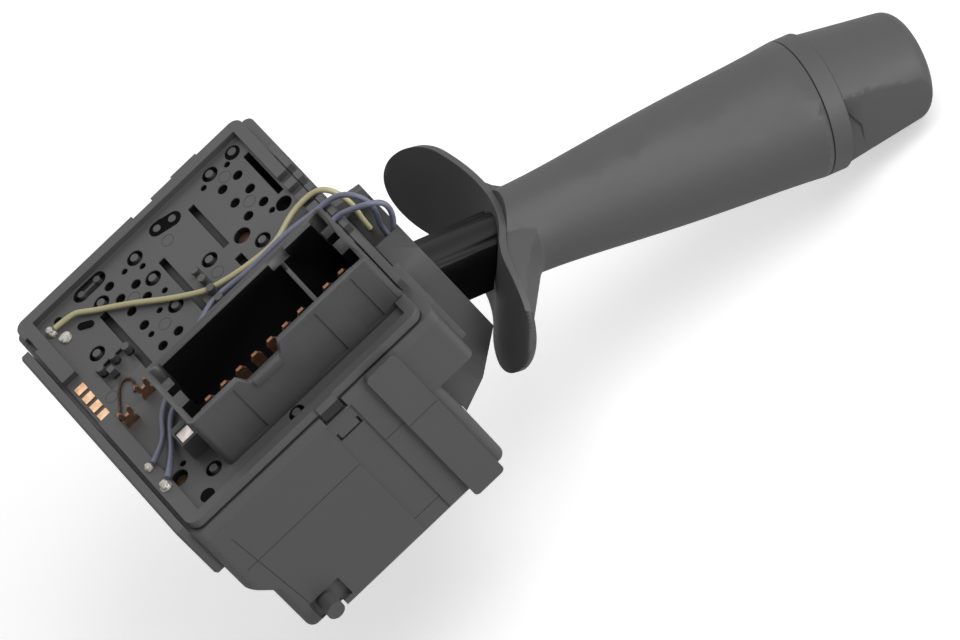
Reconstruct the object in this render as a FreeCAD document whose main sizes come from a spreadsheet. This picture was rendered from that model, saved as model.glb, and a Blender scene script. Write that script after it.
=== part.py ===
import FreeCAD, Part
import math
import os
import re
import Sketcher

# Combination stalk switch. Millimetres and degrees.
# X runs along the housing towards the stalk, Y across it, Z is up through the terminal plate.
# Inside each piece X = 0 is the housing's end face. Every placement then adds the end rail's
# thickness, so the finished part has its origin on the rail's outer face.

SIZES = {
    # Housing, measured from its end face, its middle plane and the origin's level
    "housing_width": 84.0,
    "block_length": 70.0,
    "foot_length": 60.0,
    "seam_height": 4.0,
    "housing_depth": 44.0,
    "housing_wall": 2.5,
    "block_underside": -10.5,
    "end_step_height": -15.0,
    "end_step_drop": 5.0,
    "end_step_depth": 3.8,
    "heel_length": 13.0,
    "heel_rise": 2.2,
    "corner_round": 2.0,
    "rail_proud": 2.3,
    "rail_underside": -7.0,
    "rail_end": 33.0,
    # Side channel with its snap window, and the locating peg
    "channel_left": 36.0,
    "channel_width": 7.5,
    "channel_depth": 0.5,
    "snap_top": -0.2,
    "snap_height": 2.4,
    "snap_slot": 0.6,
    "peg_place": 10.4,
    "peg_height": -33.8,
    "peg_radius": 2.1,
    "peg_length": 4.0,
    "peg_recess": 1.2,
    "peg_margin": 3.0,
    "peg_room": 1.4,
    # Guide rail on the side wall
    "guide_left": 49.1,
    "guide_width": 8.4,
    "guide_proud": 1.5,
    "guide_drop": 0.6,
    "guide_top": 7.5,
    # Carrier frame
    "frame_thick": 3.2,
    "frame_border": 4.0,
    "frame_far_border": 5.5,
    "step_clearance": 0.15,
    "end_rail_thick": 1.5,
    "end_rail_length": 16.5,
    "end_rail_underside": -6.5,
    "comb_thick": 1.6,
    "comb_rise": 3.0,
    "comb_start": -31.0,
    "comb_end": 27.0,
    "comb_inset": 0.3,
    "slot_width": 2.8,
    "slot_pitch": 5.2,
    "slot_first": -8.9,
    "slot_count": 6,
    # Terminal plate
    "rim_left": 1.0,
    "rim_length": 66.9,
    "rim_inset": 0.5,
    "rim_rise": 2.8,
    "recess_depth": 1.8,
    "seat_thick": 1.0,
    "left_lip": 3.8,
    "right_lip": 2.8,
    "near_lip": 2.4,
    "far_lip": 2.8,
    "probe_radius": 1.25,
    "small_radius": 0.8,
    "stake_hole_radius": 2.0,
    "window_radius": 2.1,
    "stake_radius": 1.0,
    "stake_head": 0.3,
    "post_gap": 0.6,
    "post_head": 0.8,
    # Plug socket
    "shroud_left": 15.8,
    "shroud_length": 51.9,
    "shroud_near": 6.8,
    "shroud_width": 21.7,
    "shroud_rise": 16.8,
    "shroud_wall": 1.5,
    "shroud_end_wall": 1.8,
    "shroud_floor": 1.5,
    "divider_place": 37.2,
    "divider_thick": 1.0,
    "latch_place": 20.0,
    "latch_width": 9.0,
    "latch_drop": 3.0,
    # Blade terminals
    "blade_width": 2.8,
    "blade_thick": 0.8,
    "blade_pitch": 4.52,
    "blade_place": 6.6,
    "blade_count": 7,
    "small_blade_place": 41.2,
    "small_blade_pitch": 4.4,
    "blade_row": 17.7,
    "blade_rise": 8.8,
    "blade_clearance": 0.06,
    # Lead carrier and what it holds
    "carrier_thick": 2.0,
    "strip_thick": 0.4,
    "strip_width": 2.4,
    "strip_pitch": 4.4,
    "stud_thick": 0.4,
    # Pivots
    "pivot_place": 62.5,
    "pivot_side": -6.5,
    "pivot_height": -10.8,
    "stalk_tilt": 27.0,
    "journal_radius": 3.0,
    "running_clearance": 0.06,
    "loose_clearance": 0.3,
    "bearing_wall": 1.8,
    "upper_bearing_drop": 4.0,
    # Turn yoke
    "yoke_gap": 0.4,
    "cheek_thick": 2.5,
    "cheek_length": 10.0,
    "bridge_thick": 2.4,
    "bridge_height": 7.8,
    "sill_depth": 13.2,
    "arm_reach": 26.0,
    "arm_width": 8.0,
    "drive_pin_radius": 2.0,
    "cross_pin_radius": 2.5,
    "detent_reach": 18.0,
    "detent_height": 7.0,
    "plunger_radius": 2.1,
    "plunger_proud": 3.6,
    "track_radius": 25.9,
    "detent_width": 24.0,
    "detent_thick": 9.0,
    "notch_radius": 1.5,
    "notch_angle": 12.0,
    # Sliders
    "turn_slider_length": 13.0,
    "turn_slider_width": 16.0,
    "turn_slider_thick": 3.0,
    "bridge_leaf": 0.3,
    "slider_slot_length": 7.0,
    "tail_reach": 14.5,
    "ball_radius": 2.5,
    "tail_side": 1.8,
    "dimmer_width": 10.0,
    "dimmer_lip": 2.2,
    "dimmer_back": 2.7,
    "floor_plate_height": -20.5,
    "floor_plate_thick": 2.0,
    "floor_plate_length": 47.0,
    "side_play": 0.2,
    # Neck
    "neck_near": 17.0,
    "neck_far": 16.0,
    "neck_top": 2.0,
    "neck_overhang": 7.0,
    "neck_wall": 2.0,
    "neck_bevel": 4.0,
    "neck_bevel_drop": 5.0,
    "neck_floor_lift": 0.5,
    "neck_floor_rise": 4.4,
    "neck_floor_length": 7.6,
    "neck_lip_rise": 13.6,
    "lead_notch_near": 3.6,
    "guide_bar_thick": 2.6,
    "guide_bar_length": 6.6,
    "guide_bar_top": -2.6,
    "lead_radius": 0.65,
    # Stalk, along its own axis from the pivot
    "root_side": 12.0,
    "root_above": 4.0,
    "root_below": 7.5,
    "root_start": 5.0,
    "leaf_tilt": 10.5,
    "leaf_apex": 30.8,
    "leaf_apex_side": 7.9,
    "leaf_far_bend": 42.2,
    "leaf_near_bend": 30.5,
    "leaf_near_slope": 31.0,
    "leaf_return_bend": 34.0,
    "leaf_thick": 1.6,
    "leaf_near_reach": 30.9,
    "leaf_far_reach": 34.4,
    "leaf_near_radius": 13.0,
    "leaf_far_radius": 10.9,
    "leaf_near_drop": 1.2,
    "leaf_far_rise": 3.7,
    "spigot_radius": 6.0,
    "spigot_length": 12.0,
    "handle_start": 36.9,
    "handle_length": 69.9,
    "foot_drop": 7.0,
    "flare_radius": 30.0,
    "flare_drop": 14.9,
    "flare_round": 1.1,
    "flare_inset": 0.7,
    "handle_foot": 10.4,
    "handle_middle": 12.4,
    "handle_shoulder": 14.2,
    "handle_end": 16.0,
    "foot_station": 2.0,
    "middle_station": 25.0,
    "shoulder_station": 46.0,
    "handle_wall": 2.0,
    "ring_gap": 0.3,
    "ring_length": 4.5,
    "ring_radius": 16.0,
    "ring_seat_radius": 12.0,
    "knob_length": 23.5,
    "knob_radius": 15.3,
    "knob_end_radius": 12.2,
    "knob_wall": 2.2,
    "knob_rim_round": 3.6,
    "scoop_top": 8.4,
    "scoop_top_side": 12.8,
    "scoop_low": 11.4,
    "scoop_low_side": 10.4,
    "notch_low": 8.4,
    "notch_length": 5.2,
    "notch_depth": 4.4,
    "rod_radius": 4.0,
    "rod_bore": 2.4,
    "rotor_radius": 7.5,
    "rotor_thick": 4.0,
    "rotor_place": 22.0,
    "button_radius": 8.0,
    "button_length": 8.0,
    "button_crown": 1.8,
    "button_travel": 1.5,
    "spring_wire": 0.45,
}

doc = FreeCAD.newDocument("combination_stalk_switch")
sheet = doc.addObject("Spreadsheet::Sheet", "sizes")
for row, (alias, size) in enumerate(SIZES.items(), start=1):
    sheet.set(f"A{row}", alias)
    sheet.set(f"B{row}", str(size))
    sheet.setAlias(f"B{row}", alias)
doc.recompute()

WORD = re.compile(r"[a-z_]{3,}")
X_AXIS = FreeCAD.Vector(1, 0, 0)
Y_AXIS = FreeCAD.Vector(0, 1, 0)
Z_AXIS = FreeCAD.Vector(0, 0, 1)
PIECES = []

# Levels and places that several pieces share, as expressions of the sizes
FRAME_TOP = "(seam_height + frame_thick)"
RIM_TOP = f"({FRAME_TOP} + rim_rise)"
PLATE_FLOOR = f"({RIM_TOP} - recess_depth)"
PLATE_UNDER = f"({FRAME_TOP} - seat_thick)"
HOUSING_BOTTOM = "(seam_height - housing_depth)"
HOUSING_FLOOR = f"({HOUSING_BOTTOM} + housing_wall)"
NEAR_WALL = "(0 - housing_width / 2)"
NEAR_RIM = "(rim_inset - housing_width / 2)"
RIM_RIGHT = "(rim_left + rim_length)"
NECK_NEAR = "(pivot_side - neck_near)"
NECK_FAR = "(pivot_side + neck_far)"
NECK_REACH = "(block_length + neck_overhang)"
NECK_FLOOR_START = f"({HOUSING_BOTTOM} + neck_floor_lift)"
NECK_FLOOR_END = f"({HOUSING_BOTTOM} + neck_floor_rise)"
NECK_FLOOR_REACH = "(foot_length + neck_floor_length)"
NECK_LIP = f"({HOUSING_BOTTOM} + neck_lip_rise)"
SHROUD_NEAR = f"({NEAR_RIM} + shroud_near)"
SHROUD_FAR = f"({SHROUD_NEAR} + shroud_width)"
SHROUD_RIGHT = "(shroud_left + shroud_length)"
LEAF_SWEEP = "(leaf_far_reach + leaf_near_reach)"
BLADE_LINE = f"({NEAR_RIM} + blade_row)"
BRIDGE_UNDER = "(pivot_height + bridge_height)"
BRIDGE_TOP = f"({BRIDGE_UNDER} + bridge_thick)"
SILL_TOP = "(pivot_height - sill_depth)"
SILL_UNDER = f"({SILL_TOP} - bridge_thick)"
CHEEK_INSIDE = "(root_side / 2 + yoke_gap)"
CHEEK_OUTSIDE = f"({CHEEK_INSIDE} + cheek_thick)"
STRIP_UNDER = f"({PLATE_UNDER} - carrier_thick - strip_thick)"
SLIDER_UNDER = f"({BRIDGE_TOP} + loose_clearance)"
SLIDER_TOP = f"({SLIDER_UNDER} + turn_slider_thick)"
HANDLE_END = "(handle_start + handle_length)"
RING_START = f"({HANDLE_END} + ring_gap)"
KNOB_START = f"({RING_START} + ring_length + ring_gap)"
KNOB_END = f"({KNOB_START} + knob_length)"
KNOB_FLOOR = f"({KNOB_END} - button_length - knob_wall)"


def cells(expression):
    """The expression with each size's name pointed at the sheet."""
    return WORD.sub(lambda word: "sizes." + word[0] if word[0] in SIZES else word[0], str(expression))


def value(expression):
    """What an expression of the sizes comes to."""
    return float(sheet.evalExpression(cells(expression)))


def bind(thing, field, expression):
    """Ties a property to the sheet."""
    thing.setExpression(field, cells(expression))


def new_body(name, loose=False):
    """A piece whose features stand in the housing's coordinates."""
    body = doc.addObject("PartDesign::Body", name)
    body.Label = name
    body.AllowCompound = loose
    bind(body, ".Placement.Base.x", "rail_proud")
    PIECES.append(body)
    return body


def on_stalk(body):
    """Stands a piece on the stalk's axis: its Z runs out from the pivot along the stalk."""
    body.Placement = FreeCAD.Placement(FreeCAD.Vector(), FreeCAD.Rotation(Y_AXIS, 90))
    bind(body, ".Placement.Rotation.Angle", "90 + stalk_tilt")
    bind(body, ".Placement.Base.x", "rail_proud + pivot_place")
    bind(body, ".Placement.Base.y", "pivot_side")
    bind(body, ".Placement.Base.z", "pivot_height")
    return body


def sketch(body, role, name, offset="0"):
    """A sketch on one of the body's own planes, moved along the plane's normal."""
    drawing = body.newObject("Sketcher::SketchObject", name)
    planes = [plane for plane in body.Origin.OriginFeatures if plane.Role == role]
    drawing.AttachmentSupport = [(planes[0], "")]
    drawing.MapMode = "FlatFace"
    bind(drawing, ".AttachmentOffset.Base.z", offset)
    return drawing


def constrain(drawing, rules):
    """Adds constraints, and ties those that carry a size to the sheet."""
    first = drawing.ConstraintCount
    drawing.addConstraint([Sketcher.Constraint(*rule[:-1]) if rule[-1] is None
                           else Sketcher.Constraint(*rule[:-1], value(rule[-1])) for rule in rules])
    for place, rule in enumerate(rules, start=first):
        if rule[-1] is not None:
            bind(drawing, f"Constraints[{place}]", rule[-1])


def held(piece, point, x, y):
    """A point of the sketch held from the sketch's origin."""
    return [("DistanceX", -1, 1, piece, point, x), ("DistanceY", -1, 1, piece, point, y)]


def polygon(drawing, *points):
    """A closed outline of straight sides through the points."""
    corners = [FreeCAD.Vector(value(x), value(y), 0) for x, y in points]
    first = drawing.GeometryCount
    following = corners[1:] + corners[:1]
    drawing.addGeometry([Part.LineSegment(a, b) for a, b in zip(corners, following)])
    rules = []
    for place, (x, y) in enumerate(points):
        side = first + place
        rules.append(("Coincident", side, 2, first + (place + 1) % len(points), 1, None))
        rules += held(side, 1, x, y)
    constrain(drawing, rules)


def rectangle(drawing, left, near, right, far):
    """A rectangle from its lower left to its upper right corner."""
    polygon(drawing, (left, near), (right, near), (right, far), (left, far))


def circles(drawing, centres, radius):
    """Equal circles at the centres."""
    first = drawing.GeometryCount
    places = [FreeCAD.Vector(value(x), value(y), 0) for x, y in centres]
    drawing.addGeometry([Part.Circle(place, Z_AXIS, value(radius)) for place in places])
    rules = []
    for place, (x, y) in enumerate(centres, start=first):
        rules += held(place, 3, x, y)
        rules.append(("Radius", place, radius))
    constrain(drawing, rules)


def belt(drawing, start, start_radius, end, end_radius):
    """Two round ends joined by their outer tangents, as a slot or a leaf."""
    ends = [FreeCAD.Vector(value(x), value(y), 0) for x, y in (start, end)]
    radii = [value(start_radius), value(end_radius)]
    run = ends[1] - ends[0]
    heading = math.atan2(run.y, run.x)
    lean = math.acos((radii[0] - radii[1]) / run.Length)
    spokes = [FreeCAD.Vector(math.cos(heading + side * lean), math.sin(heading + side * lean), 0)
              for side in (1, -1)]
    left = [centre + spokes[0] * radius for centre, radius in zip(ends, radii)]
    right = [centre + spokes[1] * radius for centre, radius in zip(ends, radii)]
    first = drawing.GeometryCount
    turns = (heading + lean, heading + 2 * math.pi - lean)
    back = Part.ArcOfCircle(Part.Circle(ends[0], Z_AXIS, radii[0]), *turns)
    front = Part.ArcOfCircle(Part.Circle(ends[1], Z_AXIS, radii[1]), turns[1] - 2 * math.pi, turns[0])
    drawing.addGeometry([back, Part.LineSegment(right[0], right[1]), front,
                         Part.LineSegment(left[1], left[0])])
    rules = [("Tangent", first + turn, 2, first + (turn + 1) % 4, 1, None) for turn in range(4)]
    rules += held(first, 3, *start) + [("Radius", first, start_radius)]
    rules += held(first + 2, 3, *end) + [("Radius", first + 2, end_radius)]
    constrain(drawing, rules)


def pad(body, drawing, length, back=False):
    """Material from the sketch along its normal, or against it."""
    feature = body.newObject("PartDesign::Pad", drawing.Name + "_pad")
    feature.Profile = drawing
    feature.Reversed = back
    bind(feature, "Length", length)
    return feature


def pocket(body, drawing, length, ahead=False):
    """A cut from the sketch against its normal, or along it."""
    feature = body.newObject("PartDesign::Pocket", drawing.Name + "_pocket")
    feature.Profile = drawing
    feature.Reversed = ahead
    bind(feature, "Length", length)
    return feature


def turned(body, drawing, cut=False, axis="V_Axis"):
    """A sketch turned once round one of its own axes."""
    kind = "Groove" if cut else "Revolution"
    feature = body.newObject("PartDesign::" + kind, drawing.Name + "_turned")
    feature.Profile = drawing
    feature.ReferenceAxis = (drawing, [axis])
    feature.Angle = 360
    return feature


def block(body, name, x, y, z):
    """A straight-sided lump between two planes each way."""
    drawing = sketch(body, "XY_Plane", name, z[0])
    rectangle(drawing, x[0], y[0], x[1], y[1])
    return pad(body, drawing, f"{z[1]} - ({z[0]})")


def cut_block(body, name, x, y, z):
    """A straight-sided cut between two planes each way, from above."""
    drawing = sketch(body, "XY_Plane", name, z[1])
    rectangle(drawing, x[0], y[0], x[1], y[1])
    return pocket(body, drawing, f"{z[1]} - ({z[0]})")


def repeated(body, feature, name, role, step, count):
    """A row of copies of a feature along one of the body's axes."""
    doc.recompute()
    row_of = body.newObject("PartDesign::LinearPattern", name)
    row_of.Originals = [feature]
    lines = [line for line in body.Origin.OriginFeatures if line.Role == role]
    row_of.Direction = (lines[0], [""])
    row_of.Mode = "Spacing"
    bind(row_of, "Offset", step)
    bind(row_of, "Occurrences", count)
    body.Tip = row_of
    return row_of


def dressed(body, kind, name, chosen, field, size):
    """A fillet or chamfer on the edges that a test picks."""
    doc.recompute()
    base = body.Tip
    names = [f"Edge{place}" for place, edge in enumerate(base.Shape.Edges, start=1) if chosen(edge)]
    feature = body.newObject("PartDesign::" + kind, name)
    feature.Base = (base, names)
    bind(feature, field, size)
    return feature


def fillet(body, name, chosen, radius):
    return dressed(body, "Fillet", name, chosen, "Radius", radius)


def chamfer(body, name, chosen, size):
    return dressed(body, "Chamfer", name, chosen, "Size", size)


def upright(edge):
    """Whether an edge is straight and runs along Z."""
    return len(edge.Vertexes) == 2 and abs(edge.tangentAt(edge.FirstParameter).z) > 0.999


def near(number, expression, slack=0.01):
    """Whether a coordinate lies at the place that an expression gives."""
    return abs(number - value(expression)) < slack


# Places on the terminal plate, in millimetres from the rim's left and near edges
PROBE_HOLES = (
    (21.5, 73.6), (21.5, 68.3), (26.1, 68.3), (21.5, 63.0), (26.1, 63.0), (21.5, 57.1), (21.5, 48.4),
    (26.1, 48.4), (53.8, 71.1), (58.3, 71.1), (53.8, 65.3), (58.3, 65.3), (54.0, 59.4), (58.5, 59.4),
)
SMALL_HOLES = (
    (26.1, 73.7), (29.8, 71.0), (29.8, 60.6), (26.1, 57.2), (21.3, 53.5), (51.0, 75.6), (58.2, 75.9),
    (58.6, 55.6), (7.8, 17.6), (11.8, 42.0),
)
STAKES = (
    (29.7, 74.5), (29.7, 65.9), (29.4, 54.8), (17.8, 71.5), (9.8, 60.8), (54.0, 77.4), (52.7, 50.8),
    (41.4, 57.8), (61.4, 54.6), (33.0, 4.8), (12.0, 10.0),
)
WINDOWS = ((38.4, 76.3), (50.1, 56.3), (5.2, 15.1))
LONG_SLOTS = (
    (15.5, 46.8, 1.9, 22.0), (32.8, 44.8, 1.7, 23.5), (45.3, 57.3, 1.7, 16.8), (61.9, 57.8, 1.6, 16.3),
    (45.5, 46.3, 2.0, 6.3), (36.6, 43.6, 1.8, 15.4),
)
GUIDE_POSTS = (56.1, 52.7, 48.7, 44.8)


def on_plate(place):
    """A place on the terminal plate as expressions of the sizes."""
    return f"rim_left + {place[0]}", f"{NEAR_RIM} + {place[1]}"


def housing():
    body = new_body("housing")
    side = sketch(body, "XZ_Plane", "housing_side", "housing_width / 2")
    heel = f"({HOUSING_BOTTOM} + heel_rise)"
    polygon(side, ("0", "seam_height"), ("0", "end_step_height"),
            ("end_step_depth", "end_step_height - end_step_drop"), ("end_step_depth", heel),
            ("heel_length", heel), ("heel_length", HOUSING_BOTTOM), ("foot_length", HOUSING_BOTTOM),
            ("foot_length", "block_underside"), ("block_length", "block_underside"),
            ("block_length", "seam_height"))
    pad(body, side, "housing_width", back=True)
    sides = ("0", "end_step_depth", "foot_length", "block_length")
    fillet(body, "housing_corners",
           lambda edge: upright(edge) and any(near(edge.CenterOfMass.x, place) for place in sides)
           and near(abs(edge.CenterOfMass.y), "housing_width / 2"), "corner_round")
    feet = (("foot_length", HOUSING_BOTTOM), ("end_step_depth", heel))
    fillet(body, "housing_feet",
           lambda edge: abs(edge.tangentAt(edge.FirstParameter).y) > 0.999
           and any(near(edge.CenterOfMass.x, x) and near(edge.CenterOfMass.z, z) for x, z in feet),
           "corner_round")
    cavity = sketch(body, "XZ_Plane", "housing_cavity", "housing_width / 2 - housing_wall")
    inner_heel = f"({HOUSING_FLOOR} + heel_rise)"
    polygon(cavity, ("housing_wall", "seam_height + housing_wall"), ("housing_wall", "end_step_height"),
            ("end_step_depth + housing_wall", "end_step_height - end_step_drop"),
            ("end_step_depth + housing_wall", inner_heel), ("heel_length + housing_wall", inner_heel),
            ("heel_length + housing_wall", HOUSING_FLOOR), ("foot_length - housing_wall", HOUSING_FLOOR),
            ("foot_length - housing_wall", "block_underside + housing_wall"),
            ("block_length - housing_wall", "block_underside + housing_wall"),
            ("block_length - housing_wall", "seam_height + housing_wall"))
    pocket(body, cavity, "housing_width - 2 * housing_wall")
    cut_block(body, "neck_window", ("foot_length - 2 * housing_wall", "block_length + housing_wall"),
              (NECK_NEAR, NECK_FAR), (HOUSING_FLOOR, "neck_top + side_play / 2"))
    channel = sketch(body, "XZ_Plane", "side_channel", "housing_width / 2")
    rectangle(channel, "channel_left", f"{HOUSING_BOTTOM} - housing_wall",
              "channel_left + channel_width", "seam_height + housing_wall")
    pocket(body, channel, "channel_depth")
    snap = sketch(body, "XZ_Plane", "snap_window", "housing_width / 2")
    left, right = "channel_left + snap_slot", "channel_left + channel_width - snap_slot"
    foot = "(snap_top - snap_height)"
    polygon(snap, (left, "snap_top"), (left, foot), (right, foot), (right, "snap_top"),
            (f"{right} - snap_slot", "snap_top"), (f"{right} - snap_slot", f"{foot} + snap_slot"),
            (f"{left} + snap_slot", f"{foot} + snap_slot"), (f"{left} + snap_slot", "snap_top"))
    pocket(body, snap, "housing_wall / 2 + channel_depth")
    recess = sketch(body, "XZ_Plane", "peg_recess", "housing_width / 2")
    rectangle(recess, "peg_place - peg_radius - peg_room", "peg_height - peg_radius - peg_room",
              "peg_place + peg_radius + peg_margin", "peg_height + peg_margin")
    pocket(body, recess, "peg_recess")
    peg = sketch(body, "XZ_Plane", "locating_peg", "housing_width / 2 - peg_recess")
    circles(peg, (("peg_place", "peg_height"),), "peg_radius")
    pad(body, peg, "peg_recess + peg_length")


def guide_rail():
    body = new_body("guide_rail")
    face = sketch(body, "XZ_Plane", "rail_face", "housing_width / 2")
    rectangle(face, "guide_left", f"{HOUSING_BOTTOM} - guide_drop", "guide_left + guide_width", "guide_top")
    pad(body, face, "guide_proud")
    fillet(body, "rail_ends", lambda edge: abs(edge.tangentAt(edge.FirstParameter).y) > 0.999,
           "guide_proud * 0.8")


def carrier_frame():
    body = new_body("carrier_frame")
    half = "housing_width / 2"
    block(body, "frame_outline", ("0", "block_length"), (NEAR_WALL, half), ("seam_height", FRAME_TOP))
    fillet(body, "frame_corners", upright, "corner_round")
    cut_block(body, "frame_opening", ("frame_border", "block_length - frame_far_border"),
              (f"{NEAR_WALL} + frame_border", f"{half} - frame_border"), ("seam_height", FRAME_TOP))
    lug = "(journal_radius + bearing_wall)"
    block(body, "bearing_lug", (f"pivot_place - {lug}", "block_length - frame_far_border"),
          (f"pivot_side - {lug}", f"pivot_side + {lug}"), ("seam_height", f"{PLATE_UNDER} - side_play"))
    boss = sketch(body, "XY_Plane", "bearing_boss", "seam_height")
    circles(boss, (("pivot_place", "pivot_side"),), lug)
    pad(body, boss, "upper_bearing_drop", back=True)
    bore = sketch(body, "XY_Plane", "bearing_bore", "seam_height - upper_bearing_drop")
    circles(bore, (("pivot_place", "pivot_side"),), "journal_radius + running_clearance")
    pocket(body, bore, "upper_bearing_drop", ahead=True)
    block(body, "end_rail", ("0 - rail_proud", "0"), (f"{NEAR_WALL} + corner_round", "rail_end"),
          ("rail_underside", RIM_TOP))
    block(body, "stalk_end_rail", ("block_length", "block_length + end_rail_thick"),
          (f"{NEAR_WALL} + corner_round", f"{NEAR_WALL} + corner_round + end_rail_length"),
          ("end_rail_underside", FRAME_TOP))
    chamfer(body, "rail_leads",
            lambda edge: edge.CenterOfMass.x < -0.5 * value("rail_proud")
            and abs(edge.tangentAt(edge.FirstParameter).x) < 0.1, "corner_round / 4")
    comb_right = "(block_length - comb_inset)"
    comb = (f"{comb_right} - comb_thick", comb_right)
    block(body, "wire_comb", comb, ("comb_start", "comb_end"), (FRAME_TOP, f"{FRAME_TOP} + comb_rise"))
    slot = cut_block(body, "comb_slot", comb, ("slot_first - slot_width / 2", "slot_first + slot_width / 2"),
                     (f"{FRAME_TOP} + snap_slot", f"{FRAME_TOP} + comb_rise"))
    repeated(body, slot, "comb_slots", "Y_Axis", "slot_pitch", "slot_count")
    cut_block(body, "snap_seat", ("channel_left + snap_slot", "channel_left + channel_width - snap_slot"),
              (NEAR_WALL, f"{NEAR_RIM} + 1.2"), ("seam_height + snap_slot / 2", FRAME_TOP))


def terminal_plate():
    body = new_body("terminal_plate")
    far_rim = "(housing_width / 2 - rim_inset)"
    block(body, "plate_rim", ("rim_left", RIM_RIGHT), (NEAR_RIM, far_rim), (FRAME_TOP, RIM_TOP))
    fillet(body, "plate_corners", upright, "corner_round * 1.25")
    inside = ("rim_left + left_lip", f"{RIM_RIGHT} - right_lip")
    cut_block(body, "plate_recess", inside, (f"{NEAR_RIM} + near_lip", f"{far_rim} - far_lip"),
              (PLATE_FLOOR, RIM_TOP))
    step = "(frame_border + step_clearance)"
    block(body, "plate_step", (step, "block_length - frame_far_border - step_clearance"),
          (f"{NEAR_WALL} + {step}", f"housing_width / 2 - {step}"), (PLATE_UNDER, FRAME_TOP))
    block(body, "far_tab", ("rim_left + 47.3", "rim_left + 54.8"), (far_rim, "housing_width / 2 + 0.7"),
          (FRAME_TOP, f"{RIM_TOP} - snap_slot"))
    block(body, "snap_tab", ("channel_left + 2 * snap_slot", "channel_left + channel_width - 2 * snap_slot"),
          (NEAR_WALL, f"{NEAR_RIM} + 1.0"), ("seam_height + 2 * snap_slot", RIM_TOP))
    cut_block(body, "far_notch", ("rim_left + 35.3", "rim_left + 41.0"), (f"{far_rim} - 0.9", far_rim),
              (FRAME_TOP, RIM_TOP))
    cut_block(body, "contact_gap", ("rim_left", "rim_left + left_lip"),
              (f"{NEAR_RIM} + 42.8", f"{NEAR_RIM} + 59.8"), (PLATE_FLOOR, RIM_TOP))
    cut_block(body, "left_groove", ("rim_left", "rim_left + 0.9"),
              (f"{NEAR_RIM} + 72.8", f"{NEAR_RIM} + 77.8"), (PLATE_FLOOR, RIM_TOP))
    cut_block(body, "shroud_seat", (f"{RIM_RIGHT} - right_lip", RIM_RIGHT),
              (f"{SHROUD_NEAR} - side_play", f"{SHROUD_FAR} + side_play"), (PLATE_FLOOR, RIM_TOP))
    slot = cut_block(body, "lip_slot", (f"{RIM_RIGHT} - right_lip", RIM_RIGHT),
                     ("slot_first - slot_width / 2", "slot_first + slot_width / 2"), (PLATE_FLOOR, RIM_TOP))
    repeated(body, slot, "lip_slots", "Y_Axis", "slot_pitch", "slot_count")
    through = f"{PLATE_FLOOR} - {PLATE_UNDER}"
    for name, places, radius in (("probe_holes", PROBE_HOLES, "probe_radius"),
                                 ("small_holes", SMALL_HOLES, "small_radius"),
                                 ("stake_holes", STAKES, "stake_hole_radius"),
                                 ("window_holes", WINDOWS, "window_radius")):
        drawing = sketch(body, "XY_Plane", name, PLATE_FLOOR)
        circles(drawing, [on_plate(place) for place in places], radius)
        pocket(body, drawing, through)
    slots = sketch(body, "XY_Plane", "long_slots", PLATE_FLOOR)
    for left, near_end, wide, long in LONG_SLOTS:
        start, end = on_plate((left, near_end)), on_plate((left + wide, near_end + long))
        rectangle(slots, start[0], start[1], end[0], end[1])
    pocket(body, slots, through)
    oval = sketch(body, "XY_Plane", "far_oval", PLATE_FLOOR)
    belt(oval, on_plate((15.8, 77.9)), "window_radius", on_plate((20.6, 77.9)), "window_radius")
    pocket(body, oval, through)
    blades = sketch(body, "XY_Plane", "blade_window", PLATE_FLOOR)
    rectangle(blades, "shroud_left + blade_place - blade_width", f"{BLADE_LINE} - blade_width",
              "shroud_left + small_blade_place + small_blade_pitch + blade_width",
              f"{BLADE_LINE} + blade_width")
    pocket(body, blades, through)
    hollow = sketch(body, "XY_Plane", "post_hollow", PLATE_FLOOR)
    rectangle(hollow, *on_plate((7.0, 49.2)), *on_plate((16.9, 57.0)))
    pocket(body, hollow, "seat_thick")
    posts = sketch(body, "XY_Plane", "hollow_posts", f"{PLATE_FLOOR} - seat_thick")
    rectangle(posts, *on_plate((9.0, 51.9)), *on_plate((10.6, 53.6)))
    circles(posts, [on_plate(place) for place in ((8.2, 55.4), (11.9, 55.7), (15.4, 54.9))], "stake_radius")
    pad(body, posts, "seat_thick + 1.6")


def shroud_keys():
    """The key pockets of the plug socket: name, distance in from its end, near and far edge."""
    return (("near_key", "1.4", "1.3", "5.9"), ("middle_key", "1.4", "10.1", "12.6"),
            ("far_key", "1.4", "15.4", "20.7"))


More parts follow.
